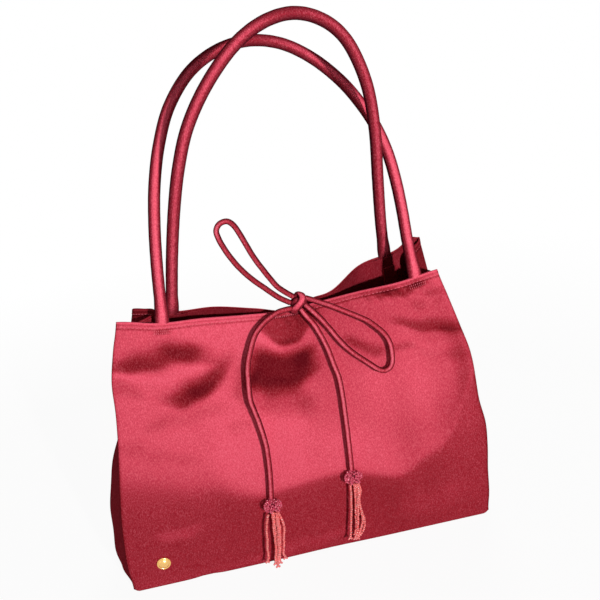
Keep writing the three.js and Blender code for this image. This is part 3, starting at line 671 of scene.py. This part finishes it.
def cloth_painted_light(surface, normal, u, v, out, hem):
    """Painted light and shade on the outer and then on the inner face of a cloth, from how far each face
    turns to the painted light direction. On the front and the back that face leans by their creases' slopes.
    Painted shade darkens the lines of a hem and the seams at its sides, and a painted highlight lightens its
    top: out is the distance from those sides."""
    if surface in PAINTED_SHADE_SLOPES:
        lean = unit(normal - np.array([0, 0, 1]) * read_table(PAINTED_SHADE_SLOPES[surface], u, v)[..., None])
        outer, seam_at = painted_light_of(facing_painted_light(lean, PAINTED_LIGHT_DIRECTION), 0.7, 0.94), 0
        inner = painted_light_of(facing_painted_light(-lean, PAINTED_LIGHT_DIRECTION), 0.45, 1.3)
    else:
        # Gussets: painted light from the painted light direction, painted darker towards their tops.
        outer = painted_light_of(normal @ PAINTED_LIGHT_DIRECTION, -0.9, 1.3) * (1 - 0.6 * smooth(v, 0.7, 0.95))
        inner, seam_at = painted_light_of(-normal @ PAINTED_LIGHT_DIRECTION, -0.6, 2.2), 2.4
    if hem:
        down = (1 - v) * BAG_HEIGHT
        # Painted shade along two lines of the hem and along the seams at its sides; on the front also a
        # painted shadow round the bar tacks below the handles, and a painted highlight along the top of the
        # hem.
        painted_hem_lines = 0.85 * hill(down, 5.4, 0.6) + 0.45 * hill(down, 2.3, 0.7)
        seam = 0.45 * hill(out, seam_at, 0.9)
        if surface == "front":
            seam += 0.4 * near_handle(u, FRONT_HANDLE_AT, 0.05) * np.exp(-((down - 8.3) / 2.2) ** 4)
        outer = outer + 0.2 * (1 - smooth(down, 3.8, 5)) - painted_hem_lines - seam
        inner = inner - painted_hem_lines
    return np.concatenate([np.ravel(outer), np.ravel(inner)])


def lines(first, last, length, cell, edge):
    """Places from first to last over a length in millimetres: even cells, with closer ones within edge."""
    close = edge * (1 - np.cos(np.linspace(0, np.pi / 2, 5)))
    inner = np.linspace(edge, length - edge, max(int((length - 2 * edge) / cell), 2) + 1)[1:-1]
    return first + (last - first) * np.concatenate([close, inner, length - close[::-1]]) / length


def cloth(name, node, surface, across, up, depth, thickness, finish, slot, cell=1.7, edge=0.9, shaped=None):
    """A closed sheet under a surface. Each point of its middle goes out and in by half its thickness times a
    quarter circle of its distance from the nearest edge, so the edges are round. shaped(u, v, mm below the
    rim) may change depth and thickness."""
    point, turn, width = SURFACES[surface]
    long, tall = (across[1] - across[0]) / 2 * width, (up[1] - up[0]) * BAG_HEIGHT
    u, v = np.meshgrid(lines(*across, long, cell, edge), lines(*up, tall, cell, edge))
    out = np.minimum(u - across[0], across[1] - u) / 2 * width
    high = np.minimum(v - up[0], up[1] - v) * BAG_HEIGHT
    if shaped:
        depth, thickness = shaped(u, v, (1 - v) * BAG_HEIGHT)
    normal = outward(point, u, v, turn)
    middle = point(u, v) - normal * np.asarray(depth + thickness / 2)[..., None]
    half = normal * (thickness / 2 * rounded(out / edge) * rounded(high / edge))[..., None]
    points = np.concatenate([(middle + half).reshape(-1, 3), (middle - half).reshape(-1, 3)])
    number = np.arange(u.size).reshape(u.shape)
    below = number + u.size
    for border in (np.s_[0], np.s_[-1], np.s_[:, 0], np.s_[:, -1]):
        below[border] = number[border]
    top = cells(*u.shape, flip=turn < 0)
    used, faces = np.unique(np.concatenate([top, below.ravel()[top[:, ::-1]]]), return_inverse=True)
    flat = np.stack([u * width / 2, v * BAG_HEIGHT], -1).reshape(-1, 2)
    painted_light = cloth_painted_light(surface, normal, u, v, out, shaped is hemmed)
    put(name, points[used], [faces.reshape(-1, 4)], finish, slot, node=node, uv=np.vstack([flat, flat])[used],
        painted_light=painted_light[used])


def make_body():
    """The satin of the four sides, the facing and lining of each, and the folded tab."""
    whole = (-1, 1), (0, 1)
    facing_low, facing_top = 1 - FACING_DEPTH / BAG_HEIGHT, 1 - SATIN / BAG_HEIGHT
    lining_low, lining_top = (SATIN + 2 * SEAM_GAP + BOARD) / BAG_HEIGHT, facing_low - SEAM_GAP / BAG_HEIGHT
    for side in ("front", "back"):
        cloth(f"{side}_satin", f"{side}_panel", side, *whole, 0, SATIN, SATIN_FINISH, "satin", shaped=hemmed)
    for side in ("left", "right"):
        cloth(f"gusset_satin_{side}", f"gusset_{side}", side, *whole, 0, SATIN, SATIN_FINISH, "satin",
              shaped=hemmed)
    for side, places, deep, edge in (
            ("front", FRONT_HANDLE_AT, FACING_INSIDE, 0.04), ("back", BACK_HANDLE_AT, FACING_INSIDE, 0.04),
            ("left", (), GUSSET_FACING_INSIDE, 0.1), ("right", (), GUSSET_FACING_INSIDE, 0.1)):
        span = (-1 + edge, 1 - edge)
        cloth(f"facing_cloth_{side}", f"facing_{side}", side, span, (facing_low, facing_top), 0, LINING,
              INSIDE_FINISH, "satin_inside", 2.4, 0.5, facing_shape(places, deep))
        cloth(f"lining_cloth_{side}", f"lining_{side}", side, span, (lining_low, lining_top), deep, LINING,
              LINING_FINISH, "lining", 3.2, 0.5)
    u, v = TAB_AT
    half = TAB_WIDTH / BACK_MOUTH_WIDTH
    cloth("folded_tab", "inner_tab", "back", (u - half, u + half), (v - TAB_HEIGHT / BAG_HEIGHT, v),
          FACING_INSIDE + LINING + 0.5, 1.9, SATIN_FINISH, "satin", 0.8, 1.0)


def bottom_sheet(name, node, inset, low, thickness, finish, slot, count=41):
    """A flat sheet that follows the foot of the bag at an inset: rings at shares of the way from the middle
    to the outline, below and then above, with round edges."""
    ends, foot = np.linspace(-1, 1, count), np.zeros(count)
    right, left = right_gusset(ends, foot), left_gusset(ends[::-1], foot)
    ring = np.concatenate([right[:, :2] - [inset, 0], left[:, :2] + [inset, 0]])
    ring[:, 1] = np.clip(ring[:, 1], inset - BASE_DEPTH / 2, BASE_DEPTH / 2 - inset)
    spread = np.linspace(0, 1, 2 * count - 1)[1:-1, None]
    back, front = mix(ring[count - 1], ring[count], spread), mix(ring[-1], ring[0], spread)
    ring = np.concatenate([ring[:count], back, ring[count:], front])
    share = np.concatenate([np.linspace(0.02, 0.97, 24), [0.98, 0.99, 0.996, 1]])
    half = thickness / 2 * rounded((1 - share) * BASE_DEPTH / 0.6)
    share, rise = np.concatenate([share, share[-2::-1]]), np.concatenate([-half, half[-2::-1]])
    flat = ring[None] * share[:, None, None]
    height = np.broadcast_to((low + thickness / 2 + rise)[:, None, None], (*flat.shape[:2], 1))
    points, faces = capped(np.concatenate([flat, height], -1))
    put(name, points, faces, finish, slot, node=node, uv=points[:, :2], painted_light=np.full(len(points), 0.4))


def finish_solid(node, finish):
    """A solid of the frame that shows as it is gets its finish."""
    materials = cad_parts[node].data.materials
    materials.clear()
    materials.append(finish)


def make_bottom():
    board_top = SATIN + 2 * SEAM_GAP + BOARD
    bottom_sheet("base_satin", "base_panel", SATIN + 0.6, 0, SATIN, SATIN_FINISH, "satin")
    bottom_sheet("base_lining", "lining_base", FACING_INSIDE + LINING + 5, board_top, LINING, LINING_FINISH,
                 "lining")
    finish_solid("base_board", BOARD_FINISH)


def route_points(route, spacing):
    """Points on the curve that the source sweeps: a centripetal Catmull-Rom through the route, whose knots
    lie apart by the square root of the distance, read at an even spacing."""
    route = np.asarray(route, float)
    ends = np.vstack([2 * route[0] - route[1], route, 2 * route[-1] - route[-2]])
    gap = np.sqrt(np.linalg.norm(np.diff(ends, axis=0), axis=1))[:, None, None]
    p0, p1, p2, p3 = (ends[k:len(ends) - 3 + k][:, None] for k in range(4))
    d0, d1, d2 = gap[:-2], gap[1:-1], gap[2:]
    first = ((p1 - p0) / d0 - (p2 - p0) / (d0 + d1) + (p2 - p1) / d1) * d1
    last = ((p2 - p1) / d1 - (p3 - p1) / (d1 + d2) + (p3 - p2) / d2) * d1
    t = np.linspace(0, 1, 41)[None, :-1, None]
    square, cube = 3 * (p2 - p1) - 2 * first - last, 2 * (p1 - p2) + first + last
    fine = p1 + first * t + square * t ** 2 + cube * t ** 3
    fine = np.vstack([fine.reshape(-1, 3), route[-1]])
    run = run_along(fine)
    even = np.linspace(0, run[-1], max(int(round(run[-1] / spacing)), 4) + 1)
    return np.stack([np.interp(even, run, fine[:, k]) for k in range(3)], -1)


def swept(path, facing, width, depth, sides=16, closed=False, ridge=None):
    """Rings of points round a path. facing is the direction that a ring's first axis leans to. width and
    depth are half sizes, a number or one for each ring, and ridge(angle, run) adds to the radius."""
    path = np.asarray(path, float)
    tangent = unit(np.roll(path, -1, 0) - np.roll(path, 1, 0) if closed else np.gradient(path, axis=0))
    facing = np.broadcast_to(np.asarray(facing, float), path.shape)
    first = unit(facing - tangent * (facing * tangent).sum(-1, keepdims=True))
    second = np.cross(tangent, first)
    angle = np.linspace(0, 2 * np.pi, sides, endpoint=False)[None, :, None]
    run = run_along(path)[:, None, None]
    more = 1 + (ridge(angle, run) if ridge else 0)
    width, depth = (np.broadcast_to(size, len(path))[:, None, None] for size in (width, depth))
    around = first[:, None] * np.cos(angle) * depth + second[:, None] * np.sin(angle) * width
    return path[:, None] + around * more, np.concatenate(np.broadcast_arrays(angle * np.max(width), run), -1)


def ring_painted_light(ring, low=0.3, lit_direction=TUBE_PAINTED_LIGHT_DIRECTION, level=0.7):
    """Painted light and shade of a tube, from its normals: the cross product of the steps round it and along
    it. Each ring gets a painted highlight where it faces the painted light direction most and painted shade
    elsewhere, and is painted darker by level where the tube runs level."""
    step = np.gradient(ring, axis=0)
    normal = unit(np.cross(np.roll(ring, -1, 1) - np.roll(ring, 1, 1), step))
    normal *= np.sign((normal * (ring - ring.mean(1, keepdims=True))).sum())
    share = facing_painted_light(normal, lit_direction)
    return painted_light_of(share / share.max(1, keepdims=True), low, 0.97) * mix(level, 1, np.abs(unit(step)[..., 2]))


def tube(name, node, path, facing, width, finish, slot, body="bag", depth=None, sides=16, ridge=None):
    """A closed tube along a path, its ends drawn in to a point by two smaller rings. Its painted light and
    shade are those of a round tube, also where it is pressed flat."""
    ring, uv = swept(path, facing, width, width if depth is None else depth, sides, ridge=ridge)
    full = swept(path, facing, width, width, sides, ridge=ridge)[0]
    painted_light = ring_painted_light(full, 0.3, CORD_PAINTED_LIGHT_DIRECTION, 0.86) if slot == "cord" else ring_painted_light(full)
    centre = ring.mean(1, keepdims=True)
    outwards = unit(np.stack([centre[0] - centre[1], centre[-1] - centre[-2]]))
    size = np.linalg.norm(ring - centre, axis=-1).mean(1)
    start, end = ([centre[k] + (ring[k] - centre[k]) * share + outwards[k] * rise * size[k]
                   for share, rise in ((0.45, 0.28), (0.85, 0.16))] for k in (0, -1))
    points, faces = capped(np.concatenate([start, ring, end[::-1]]))
    uv, painted_light = (np.concatenate([value[:1], value[:1], value, value[-1:], value[-1:]]) for value in (uv, painted_light))
    uv = np.concatenate([uv.reshape(-1, 2), uv[0, :1], uv[-1, :1]])
    return put(name, points, faces, finish, slot, body, node, uv, np.concatenate([painted_light.ravel(), [0.4, 0.4]]))


def piping_ridge(angle, run):
    """Piping: a sewn ridge down one side, a shallow groove beside it, and small uneven swellings."""
    turned = np.mod(angle - 2.4 + 0.25 * np.sin(run / 23), 2 * np.pi) - np.pi
    ridge = 0.1 * hill(turned, 0, 0.28) - 0.07 * hill(turned, 0.5, 0.22)
    return ridge + 0.012 * np.sin(run / 2.1 + 2 * np.sin(angle)) + 0.012 * np.sin(run / 5.3 + angle)


def make_tie(tassels):
    """The loops and tails of the bow, and the stems that join them to the facings."""
    cords = {}
    for name, route in (("loop_left", LEFT_LOOP), ("loop_right", RIGHT_LOOP),
                        ("tail_left", LEFT_TAIL), ("tail_right", RIGHT_TAIL)):
        path = route_points(route, CORD_STEP)
        piece = tube(f"bow_{name}", f"tie_{name}", path, (0, -1, 0.12), CORD_RADIUS, CORD_FINISH, "cord",
                     ridge=piping_ridge)
        cords[name] = piece, path * MM, float(run_along(path)[-1]) * MM
    for name, route in (("front", FRONT_STEM), ("back", BACK_STEM)):
        tube(f"tie_stem_cord_{name}", f"tie_stem_{name}", route_points(route, CORD_STEP), (1, 0, 0),
             CORD_RADIUS, CORD_FINISH, "cord", ridge=piping_ridge)
    for side in ("left", "right"):
        piece, path, length = cords[f"loop_{side}"]
        piece, path, length = cords[f"tail_{side}"]


def make_knot():
    """The knot: a lumpy core where the cords meet, and one flattened turn of piping drawn tight over it, an
    ellipse that leans to the right."""
    angle = np.linspace(0, 2 * np.pi, 90, endpoint=False)
    lean, deep = unit(np.array([0.5, 0.0, 0.87])), np.array([0.0, -1.0, 0.0])
    side = np.cross(lean, deep)
    turn = KNOT_CENTRE + TURN_MOVED + np.cos(angle)[:, None] * lean * KNOT_TURN[0]
    turn += np.sin(angle)[:, None] * deep * KNOT_TURN[1] + side * (1.3 * np.sin(2 * angle))[:, None]
    ring, uv = swept(turn, side, 2.1, 3.4 + 0.4 * np.cos(2 * angle + 0.6), 20, True, piping_ridge)
    start, levels, sides = ring[..., 0].size, 29, 40
    theta, phi = np.meshgrid(np.linspace(0, np.pi, levels + 2)[1:-1],
                             np.linspace(0, 2 * np.pi, sides, endpoint=False), indexing="ij")
    fold = 1 + 0.08 * np.cos(3 * phi + 2 * theta) + 0.05 * np.cos(2 * phi - 3 * theta)
    ball = np.stack([np.sin(theta) * np.cos(phi), np.sin(theta) * np.sin(phi), np.cos(theta)], -1)
    core = (KNOT_CENTRE + ball * fold[..., None] * KNOT_CORE + CORE_MOVED).reshape(-1, 3)
    poles = KNOT_CENTRE + [[1.0, 0, 4.1], [1.0, 0, -5.7]]
    first, last = start + np.arange(sides), start + len(core)
    faces = [cells(*ring.shape[:2], round_rows=True, round_columns=True),
             cells(levels, sides, start, True, round_columns=True),
             fan(first, last), fan(first + len(core) - sides, last + 1, True)]
    core_uv = np.stack([phi * 5, theta * 5], -1).reshape(-1, 2)
    uv = np.concatenate([uv.reshape(-1, 2), core_uv, [[0, 0], [0, 15]]])
    # Painted light and shade of the knot's turn and core, with a painted highlight where they face the
    # painted light direction.
    painted_light = [ring_painted_light(ring, 0.0, level=0.86).ravel(),
           painted_light_of(facing_painted_light(unit(core - KNOT_CENTRE), TUBE_PAINTED_LIGHT_DIRECTION), 0.1, 0.97) * 0.85, [0.5, 0.1]]
    put("bow_knot", np.concatenate([ring.reshape(-1, 3), core, poles]), faces, HANDLE_FINISH, "cord",
        node="tie_knot", uv=uv, painted_light=np.concatenate(painted_light))


def handle_path(surface, shares, outline, drop, lean):
    """The middle of a handle, the line through its feet and its upward direction. An outline point is the
    middle of the feet, plus its first share of half the span, plus its second of the drop, turned about that
    line."""
    feet = []
    for u in shares:
        foot = under(surface, u, 1, SATIN + POCKET / 2)
        foot[2] = under(surface, u, 1, 0)[2] + CORE_RADIUS + SEAM_GAP
        feet.append(foot)
    middle, across = (feet[0] + feet[1]) / 2, (feet[1] - feet[0]) / 2
    axis = unit(across)
    up = unit(np.array([0, 0, 1]) - axis * axis[2])
    angle = np.radians(-lean)
    up = up * np.cos(angle) + np.cross(axis, up) * np.sin(angle)
    outline = np.array(outline)
    return middle + outline[:, :1] * across + outline[:, 1:] * up * drop, axis, up


def handle_ridge(angle, run):
    """A handle's cover: one sewn seam on the inner side, and faint rings where cloth is pushed together."""
    turned = np.mod(angle - 4.4 + 0.2 * np.sin(run / 60), 2 * np.pi) - np.pi
    seam = 0.035 * hill(turned, 0, 0.16) - 0.045 * hill(turned, 0.28, 0.12)
    rings = 0.006 * np.sin(run / 1.9 + 1.5 * np.sin(angle + run / 40)) * (0.5 + 0.5 * np.sin(run / 37))
    return seam + rings + 0.012 * np.sin(run / 17 + angle)


def rope_ridge(angle, run):
    """Rope: three strands that wind round it."""
    return 0.05 * np.sin(3 * angle + run / 3)


def make_handle(side, shares, outline, drop, lean):
    """A stuffed satin tube: round over its length, and pressed flat where it goes in between panel and
    facing. Its filling is a rope, and its ends are sewn flat."""
    body = f"handle_{side}"
    route, axis, up = handle_path(side, shares, outline, drop, lean)
    away, foot = np.cross(axis, up), route[0]
    low = [under(side, u, 1 - HANDLE_SUNK / BAG_HEIGHT, SATIN + POCKET / 2) for u in shares]
    path = route_points(np.vstack([low[0], route, low[1]]), HANDLE_STEP)
    run = run_along(path)
    end = np.minimum(run, run[-1] - run) - FOOT_RUN
    width = mix(PRESSED_WIDTH, HANDLE_RADIUS, smooth(end, 0, 18))
    depth = mix(PRESSED_DEPTH, HANDLE_RADIUS, smooth(end, -9, 4))
    cover = tube(f"{body}_satin", f"{body}_cover", path, away, width, HANDLE_FINISH, "satin", None, depth, 28,
                 handle_ridge)
    tuple((foot - up * TURN_BELOW) * MM)
    tuple((foot + up * TURN_ABOVE) * MM)
    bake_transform(cover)
    tube(f"{body}_filling", f"{body}_core", route_points(route, 3)[3:-3], away, CORE_RADIUS, FILLER_FINISH,
         "filler", body, sides=14, ridge=rope_ridge)
    half, low_edge = SEWN_END_WIDTH / BACK_MOUTH_WIDTH, 1 - SEWN_END_LENGTH / BAG_HEIGHT
    for u, place in zip(shares, ("left", "right")):
        cloth(f"{body}_sewn_{place}", f"{body}_end_{place}", side, (u - half, u + half), (low_edge, 0.996),
              SATIN + 0.75, 1.2, HANDLE_FINISH, "satin", 1.2, 0.5)


def bits(centres, firsts, seconds, template, rows, columns, **rounds):
    """Copies of one small form: template points are shares of two axes and of their cross product."""
    firsts = unit(firsts)
    seconds = unit(seconds - firsts * (seconds * firsts).sum(-1, keepdims=True))
    axes = np.stack([firsts, seconds, np.cross(firsts, seconds)], 1)
    points = centres[:, None] + np.einsum("pk,nkc->npc", template, axes)
    one = cells(rows, columns, **rounds)
    faces = (one[None] + np.arange(len(centres))[:, None, None] * len(template)).reshape(-1, 4)
    return points.reshape(-1, 3), faces


def small_form(rows, columns, first, closed):
    """The places of a small form's points, round its rings."""
    return np.meshgrid(np.linspace(*first, rows, endpoint=not closed),
                       np.linspace(0, 2 * np.pi, columns, endpoint=False), indexing="ij")


def beads(centres, directions, across, radius, length):
    """Seed beads: each a ring whose section is a round-cornered oval, with a bore along its direction."""
    a, b = small_form(9, 6, (0, 2 * np.pi), True)
    wall = radius * BEAD_WALL
    reach = radius - wall + wall * np.cos(b)
    form = np.stack([length / 2 * np.sin(b), reach * np.cos(a), reach * np.sin(a)], -1).reshape(-1, 3)
    return bits(centres, directions, across, form, 9, 6, round_rows=True, round_columns=True)


def threaded(paths, radius, length, seed):
    """Seed beads threaded on paths, each turned and moved a little."""
    rng = np.random.default_rng(seed)
    paths = [route_points(path, length * BEAD_SPACING) for path in paths]
    centres, directions = np.concatenate(paths), np.concatenate([np.gradient(path, axis=0) for path in paths])
    centres = centres + rng.normal(0, 0.13, centres.shape)
    directions = unit(directions) + rng.normal(0, 0.16, directions.shape)
    return beads(centres, directions, rng.normal(0, 1, directions.shape), radius, length)


# A tassel's strands: each one's share of the length, and how far it is to the side at seven places down it
STRANDS = {
    "left": [
        (0.9, (-6, -7.4, -8.8, -9.4, -10.2, -11, -11.8)), (0.98, (-1.3, -1.4, -1.6, -2, -2.8, -4.2, -5)),
        (1.03, (1.6, 1.9, 1.6, 0.6, -0.4, -2.0, -3.2)), (0.98, (3.4, 4.2, 3.8, 2.6, 1.4, 0.2, -0.5)),
        (0.9, (4.4, 6.6, 7.7, 6.8, 5.2, 4.0, 5.2)), (0.93, (0.2, 0.2, -0.2, -0.8, -1.4, -2.8, -4.0)),
        (0.95, (2.6, 3.2, 2.6, 1.4, 0.6, -0.6, -1.8))],
    "right": [
        (0.96, (-2.6, -3.2, -4.4, -5.4, -6.2, -7.2, -8.2)), (0.84, (0.4, 1.0, 0.9, 0.2, -0.4, -0.8, -1.0)),
        (0.98, (3.0, 3.7, 2.2, 1.4, 0.6, -1.4, -4.0)), (1.0, (5.2, 6.2, 3.0, 5.2, 7.2, 5.2, -1.4)),
        (0.93, (4.0, 4.6, 3.6, 4.2, 5.2, 3.2, 0.2)), (0.9, (1.6, 2.2, 1.6, 0.8, 0.2, -1.0, -2.6))]}
# How far down a strand those places are, how much of its own distance in depth it keeps there, and how far
# it drifts back, in millimetres
STRAND_DOWN = np.array([-0.014, 0.12, 0.32, 0.5, 0.7, 0.86, 0.97])
STRAND_OFF = np.array([0.4, 0.9, 1, 1, 0.8, 0.6, 0.4])
STRAND_BACK = np.array([0, 0.6, 1.2, 1.6, 2, 2.2, 2.4])

# The bead loops of a tassel's head: the angle round it, and how far above its middle each starts
HEAD_LOOPS = ((0.3, 2.4), (1, 2.2), (2.3, 1), (2.9, 3), (3.6, -2.2), (4.4, -4.2), (5.3, -3), (6, 0.2))
# The angle from one bead of a head to the next, which spreads them evenly
HEAD_TURN = 2.39996


def joined(name, forms, finish, slot, body):
    """One piece from two sets of points and faces, on a body whose node has the same name."""
    (points, faces), (more, more_faces) = forms
    faces = [faces, more_faces + len(points)]
    return put(name, np.concatenate([points, more]), faces, finish, slot, body, body)


def make_tassel(side, route, strand_length, seed):
    """A head of dark beads on an oval, with small bead loops that stand out of it, and hanging strands of
    coral beads that end in a small tuft each."""
    head = route[-1] + [0, 0, -SEAM_GAP - HEAD_HEIGHT / 2]
    rng = np.random.default_rng(seed)
    k = np.arange(HEAD_BEADS) + 0.5
    height, turn = 1 - 2 * k / HEAD_BEADS, k * HEAD_TURN
    level = np.sqrt(1 - height ** 2)
    normal = np.stack([level * np.cos(turn), level * np.sin(turn), height], -1)
    centres = head + normal * HEAD_OVAL * (1 + 0.12 * np.sin(k * 2.1)[:, None])
    ball = beads(centres, np.cross(normal, rng.normal(0, 1, normal.shape)), normal, *HEAD_BEAD)
    loops, t = [], np.linspace(0, np.pi, 6)[:, None]
    for a, lift in HEAD_LOOPS:
        out = np.array([np.cos(a), -0.35 - 0.2 * np.sin(3 * a), 0.45 * np.sin(a * 2)])
        start = head + [5.2 * np.cos(a), -2.6, lift]
        loops.append(start + unit(out) * 3.0 * np.sin(t) + np.array([0, 0, 2.2]) * np.cos(t))
    head_piece = joined(f"tassel_{side}_head_beads", [ball, threaded(loops, *LOOP_BEAD, seed + 1)],
                        DARK_BEAD_FINISH, "bead_dark", f"tassel_{side}_head")
    gather = head + [0, 0, -(HEAD_HEIGHT + GATHER) / 2 - SEAM_GAP]
    strands = []
    for k, (share, sideways) in enumerate(STRANDS[side]):
        off = (0.7 if k % 2 else -1.3) * (1.4 if k > 4 else 1) * STRAND_OFF + STRAND_BACK
        place = [np.array(sideways) + rng.normal(0, 0.25, 7), off, -STRAND_DOWN * strand_length * share]
        strands.append(gather + np.stack(place, -1))
    tufts = [strand[-1] + [[0, 0, 0.6], [dx * 0.7, -0.3, -0.6], [dx * 1.5, -0.4, -1.2]]
             for strand in strands for dx in (-1, 1)]
    hanging = [threaded(strands, *STRAND_BEAD, seed + 2), threaded(tufts, *TUFT_BEAD, seed + 3)]
    return [head_piece, joined(f"tassel_{side}_strand_beads", hanging, CORAL_BEAD_FINISH, "bead_coral",
                               f"tassel_{side}_strands")]


def stitch_form(length, width, rise):
    """A stitch: a thread that dips at both ends, as rings of six points."""
    t, a = small_form(6, 6, (-1, 1), False)
    size = np.sqrt(np.clip(1 - t ** 4, 0.02, 1)) * width / 2
    lift = rise * (1 - t ** 2)
    return np.stack([t * length / 2, np.cos(a) * size, lift + np.sin(a) * size], -1).reshape(-1, 3)


def stitches(name, rows):
    """Lines of stitches: each row is a surface, u and v at its two ends, their count, and a direction and
    length of stitch."""
    points, faces, count = [], [], 0
    for surface, (u0, v0), (u1, v1), number, upright, length in rows:
        point, turn = SURFACES[surface][:2]
        t = (np.arange(number) + 0.5) / number
        u, v = mix(u0, u1, t), mix(v0, v1, t)
        normal = outward(point, u, v, turn)
        across = point(u + 2e-3, v) - point(u - 2e-3, v)
        first = np.cross(normal, across) if upright else across
        made, quads = bits(point(u, v) + normal * (-0.12), first, np.cross(normal, first),
                           stitch_form(length, 0.5, 0.28), 6, 6, round_columns=True)
        points.append(made)
        faces.append(quads + count)
        count += len(made)
    put(name, np.concatenate(points), faces, THREAD_FINISH)


def make_stitching():
    """The stitches of the hems, and bar tacks below the handles and below the knot."""
    down = 1 - STITCH_LINE / BAG_HEIGHT
    for surface, count in (("front", 84), ("back", 84), ("left", 22), ("right", 22)):
        stitches(f"hem_stitches_{surface}", [(surface, (-0.985, down), (0.985, down), count, False, 2.5)])
    tacks = [(surface, (u - 0.055, 1 - low / BAG_HEIGHT), (u + 0.055, 1 - low / BAG_HEIGHT), 9, True, 1.7)
             for surface, places in (("front", FRONT_HANDLE_AT), ("back", BACK_HANDLE_AT))
             for u in places for low in (7.2, 9.4)]
    v = 1 - 5.6 / BAG_HEIGHT
    stitches("bar_tacks", tacks + [("front", (-0.07, v), (0.1, v), 15, True, 2.0)])


# Half the section of the stud: distance from its middle line, and height above the cloth
STUD_SECTION = np.array([
    [0.01, -1.8], [1.3, -1.8], [1.3, -0.1], [6.3, -0.1], [6.5, 0.1], [6.52, 0.6], [6.4, 1.0], [6.1, 1.25],
    [5.8, 1.3], [5.45, 1.15], [5.25, 0.95], [5.0, 1.1], [4.6, 1.55], [3.9, 2.1], [3.0, 2.6], [2.0, 2.98],
    [1.0, 3.2], [0.01, 3.26]])


def make_stud():
    """A turned stud: a low dome with a raised beaded rim, its section carried round the outward normal."""
    u, v = np.array(STUD_AT[0]), np.array(STUD_AT[1])
    normal = outward(front_base, u, v, 1)
    across = unit(np.array([1, 0, 0]) - normal * normal[0])
    angle = np.linspace(0, 2 * np.pi, 64, endpoint=False)
    knurl = np.zeros((len(STUD_SECTION), 64))
    knurl[5:9] = 0.12 * np.cos(angle * 32)
    radius, height = (STUD_SECTION[:, :1] + knurl)[..., None], STUD_SECTION[:, 1:, None]
    flat = np.cos(angle)[:, None] * across + np.sin(angle)[:, None] * np.cross(normal, across)
    rings = front_cloth(u, v) + normal * 0.3 + radius * flat + height * normal
    put("gilt_stud", *capped(rings), GILT_FINISH, "gilt", node="stud")
    finish_solid("stud_washer", GILT_FINISH)


def make_studio():
    """A pale floor and a world that show white to the camera, while the floor keeps the shadow, one key lamp
    in front a little to the right, a soft fill at the left and a soft lamp behind."""
    white = (1, 1, 1, 1)
    floor = new_finish("pale floor")
    middle = floor.place((1.1, 1.1, 1.1))
    near = floor.node("TexGradient", {"gradient_type": "SPHERICAL"}, {"Vector": middle}, 1)
    tone = floor.blend(floor.noise((3, 3, 3), 2), (0.88, 0.88, 0.88, 1), (0.92, 0.92, 0.92, 1))
    matt = floor.node("BsdfDiffuse", None, {"Color": tone})
    shown = floor.node("Emission", None, {"Color": white, "Strength": 1.0})
    share = floor.seen() * (1 - floor.bounded(near, 0.0, 0.5) * 0.06)
    floor.end("Material", floor.node("MixShader", None, {0: share, 1: matt, 2: shown}))
    u, v = np.meshgrid(np.linspace(-1, 1, 3) * FLOOR_REACH, np.linspace(-1, 1, 3) * FLOOR_REACH)
    points = np.stack([u, v, np.full_like(u, -FLOOR_DROP)], -1).reshape(-1, 3)
    put("floor", points, [cells(3, 3)], floor.owner, body=None)
    add_lamp("key", (0.64, -2.82, 0.96), (0.0, -0.04, 0.2), 0.1, 71)
    add_lamp("fill", (-2.1, -0.8, 0.8), (0, 0, 0.2), 1.4, 2.2)
    add_lamp("back", (0.9, 2.4, 1.3), (0, 0, 0.2), 1.2, 42)
    world = Finish(bpy.data.worlds.new("white room"))
    bpy.context.scene.world = world.owner
    plain, shown = (world.node("Background", None, {"Color": white, "Strength": power})
                    for power in (0.06, 1.0))
    world.end("World", world.node("MixShader", None, {0: world.seen(), 1: plain, 2: shown}))


bpy.context.scene.view_settings.view_transform = "Standard"
place_camera()
make_tie({"left": make_tassel("left", LEFT_TAIL, LEFT_STRANDS, 11),
          "right": make_tassel("right", RIGHT_TAIL, RIGHT_STRANDS, 31)})
make_knot()
make_body()
make_bottom()
make_handle("front", FRONT_HANDLE_AT, FRONT_HANDLE_OUTLINE, FRONT_DROP, FRONT_LEAN)
make_handle("back", BACK_HANDLE_AT, BACK_HANDLE_OUTLINE, BACK_DROP, BACK_LEAN)
make_stud()
make_stitching()
make_studio()
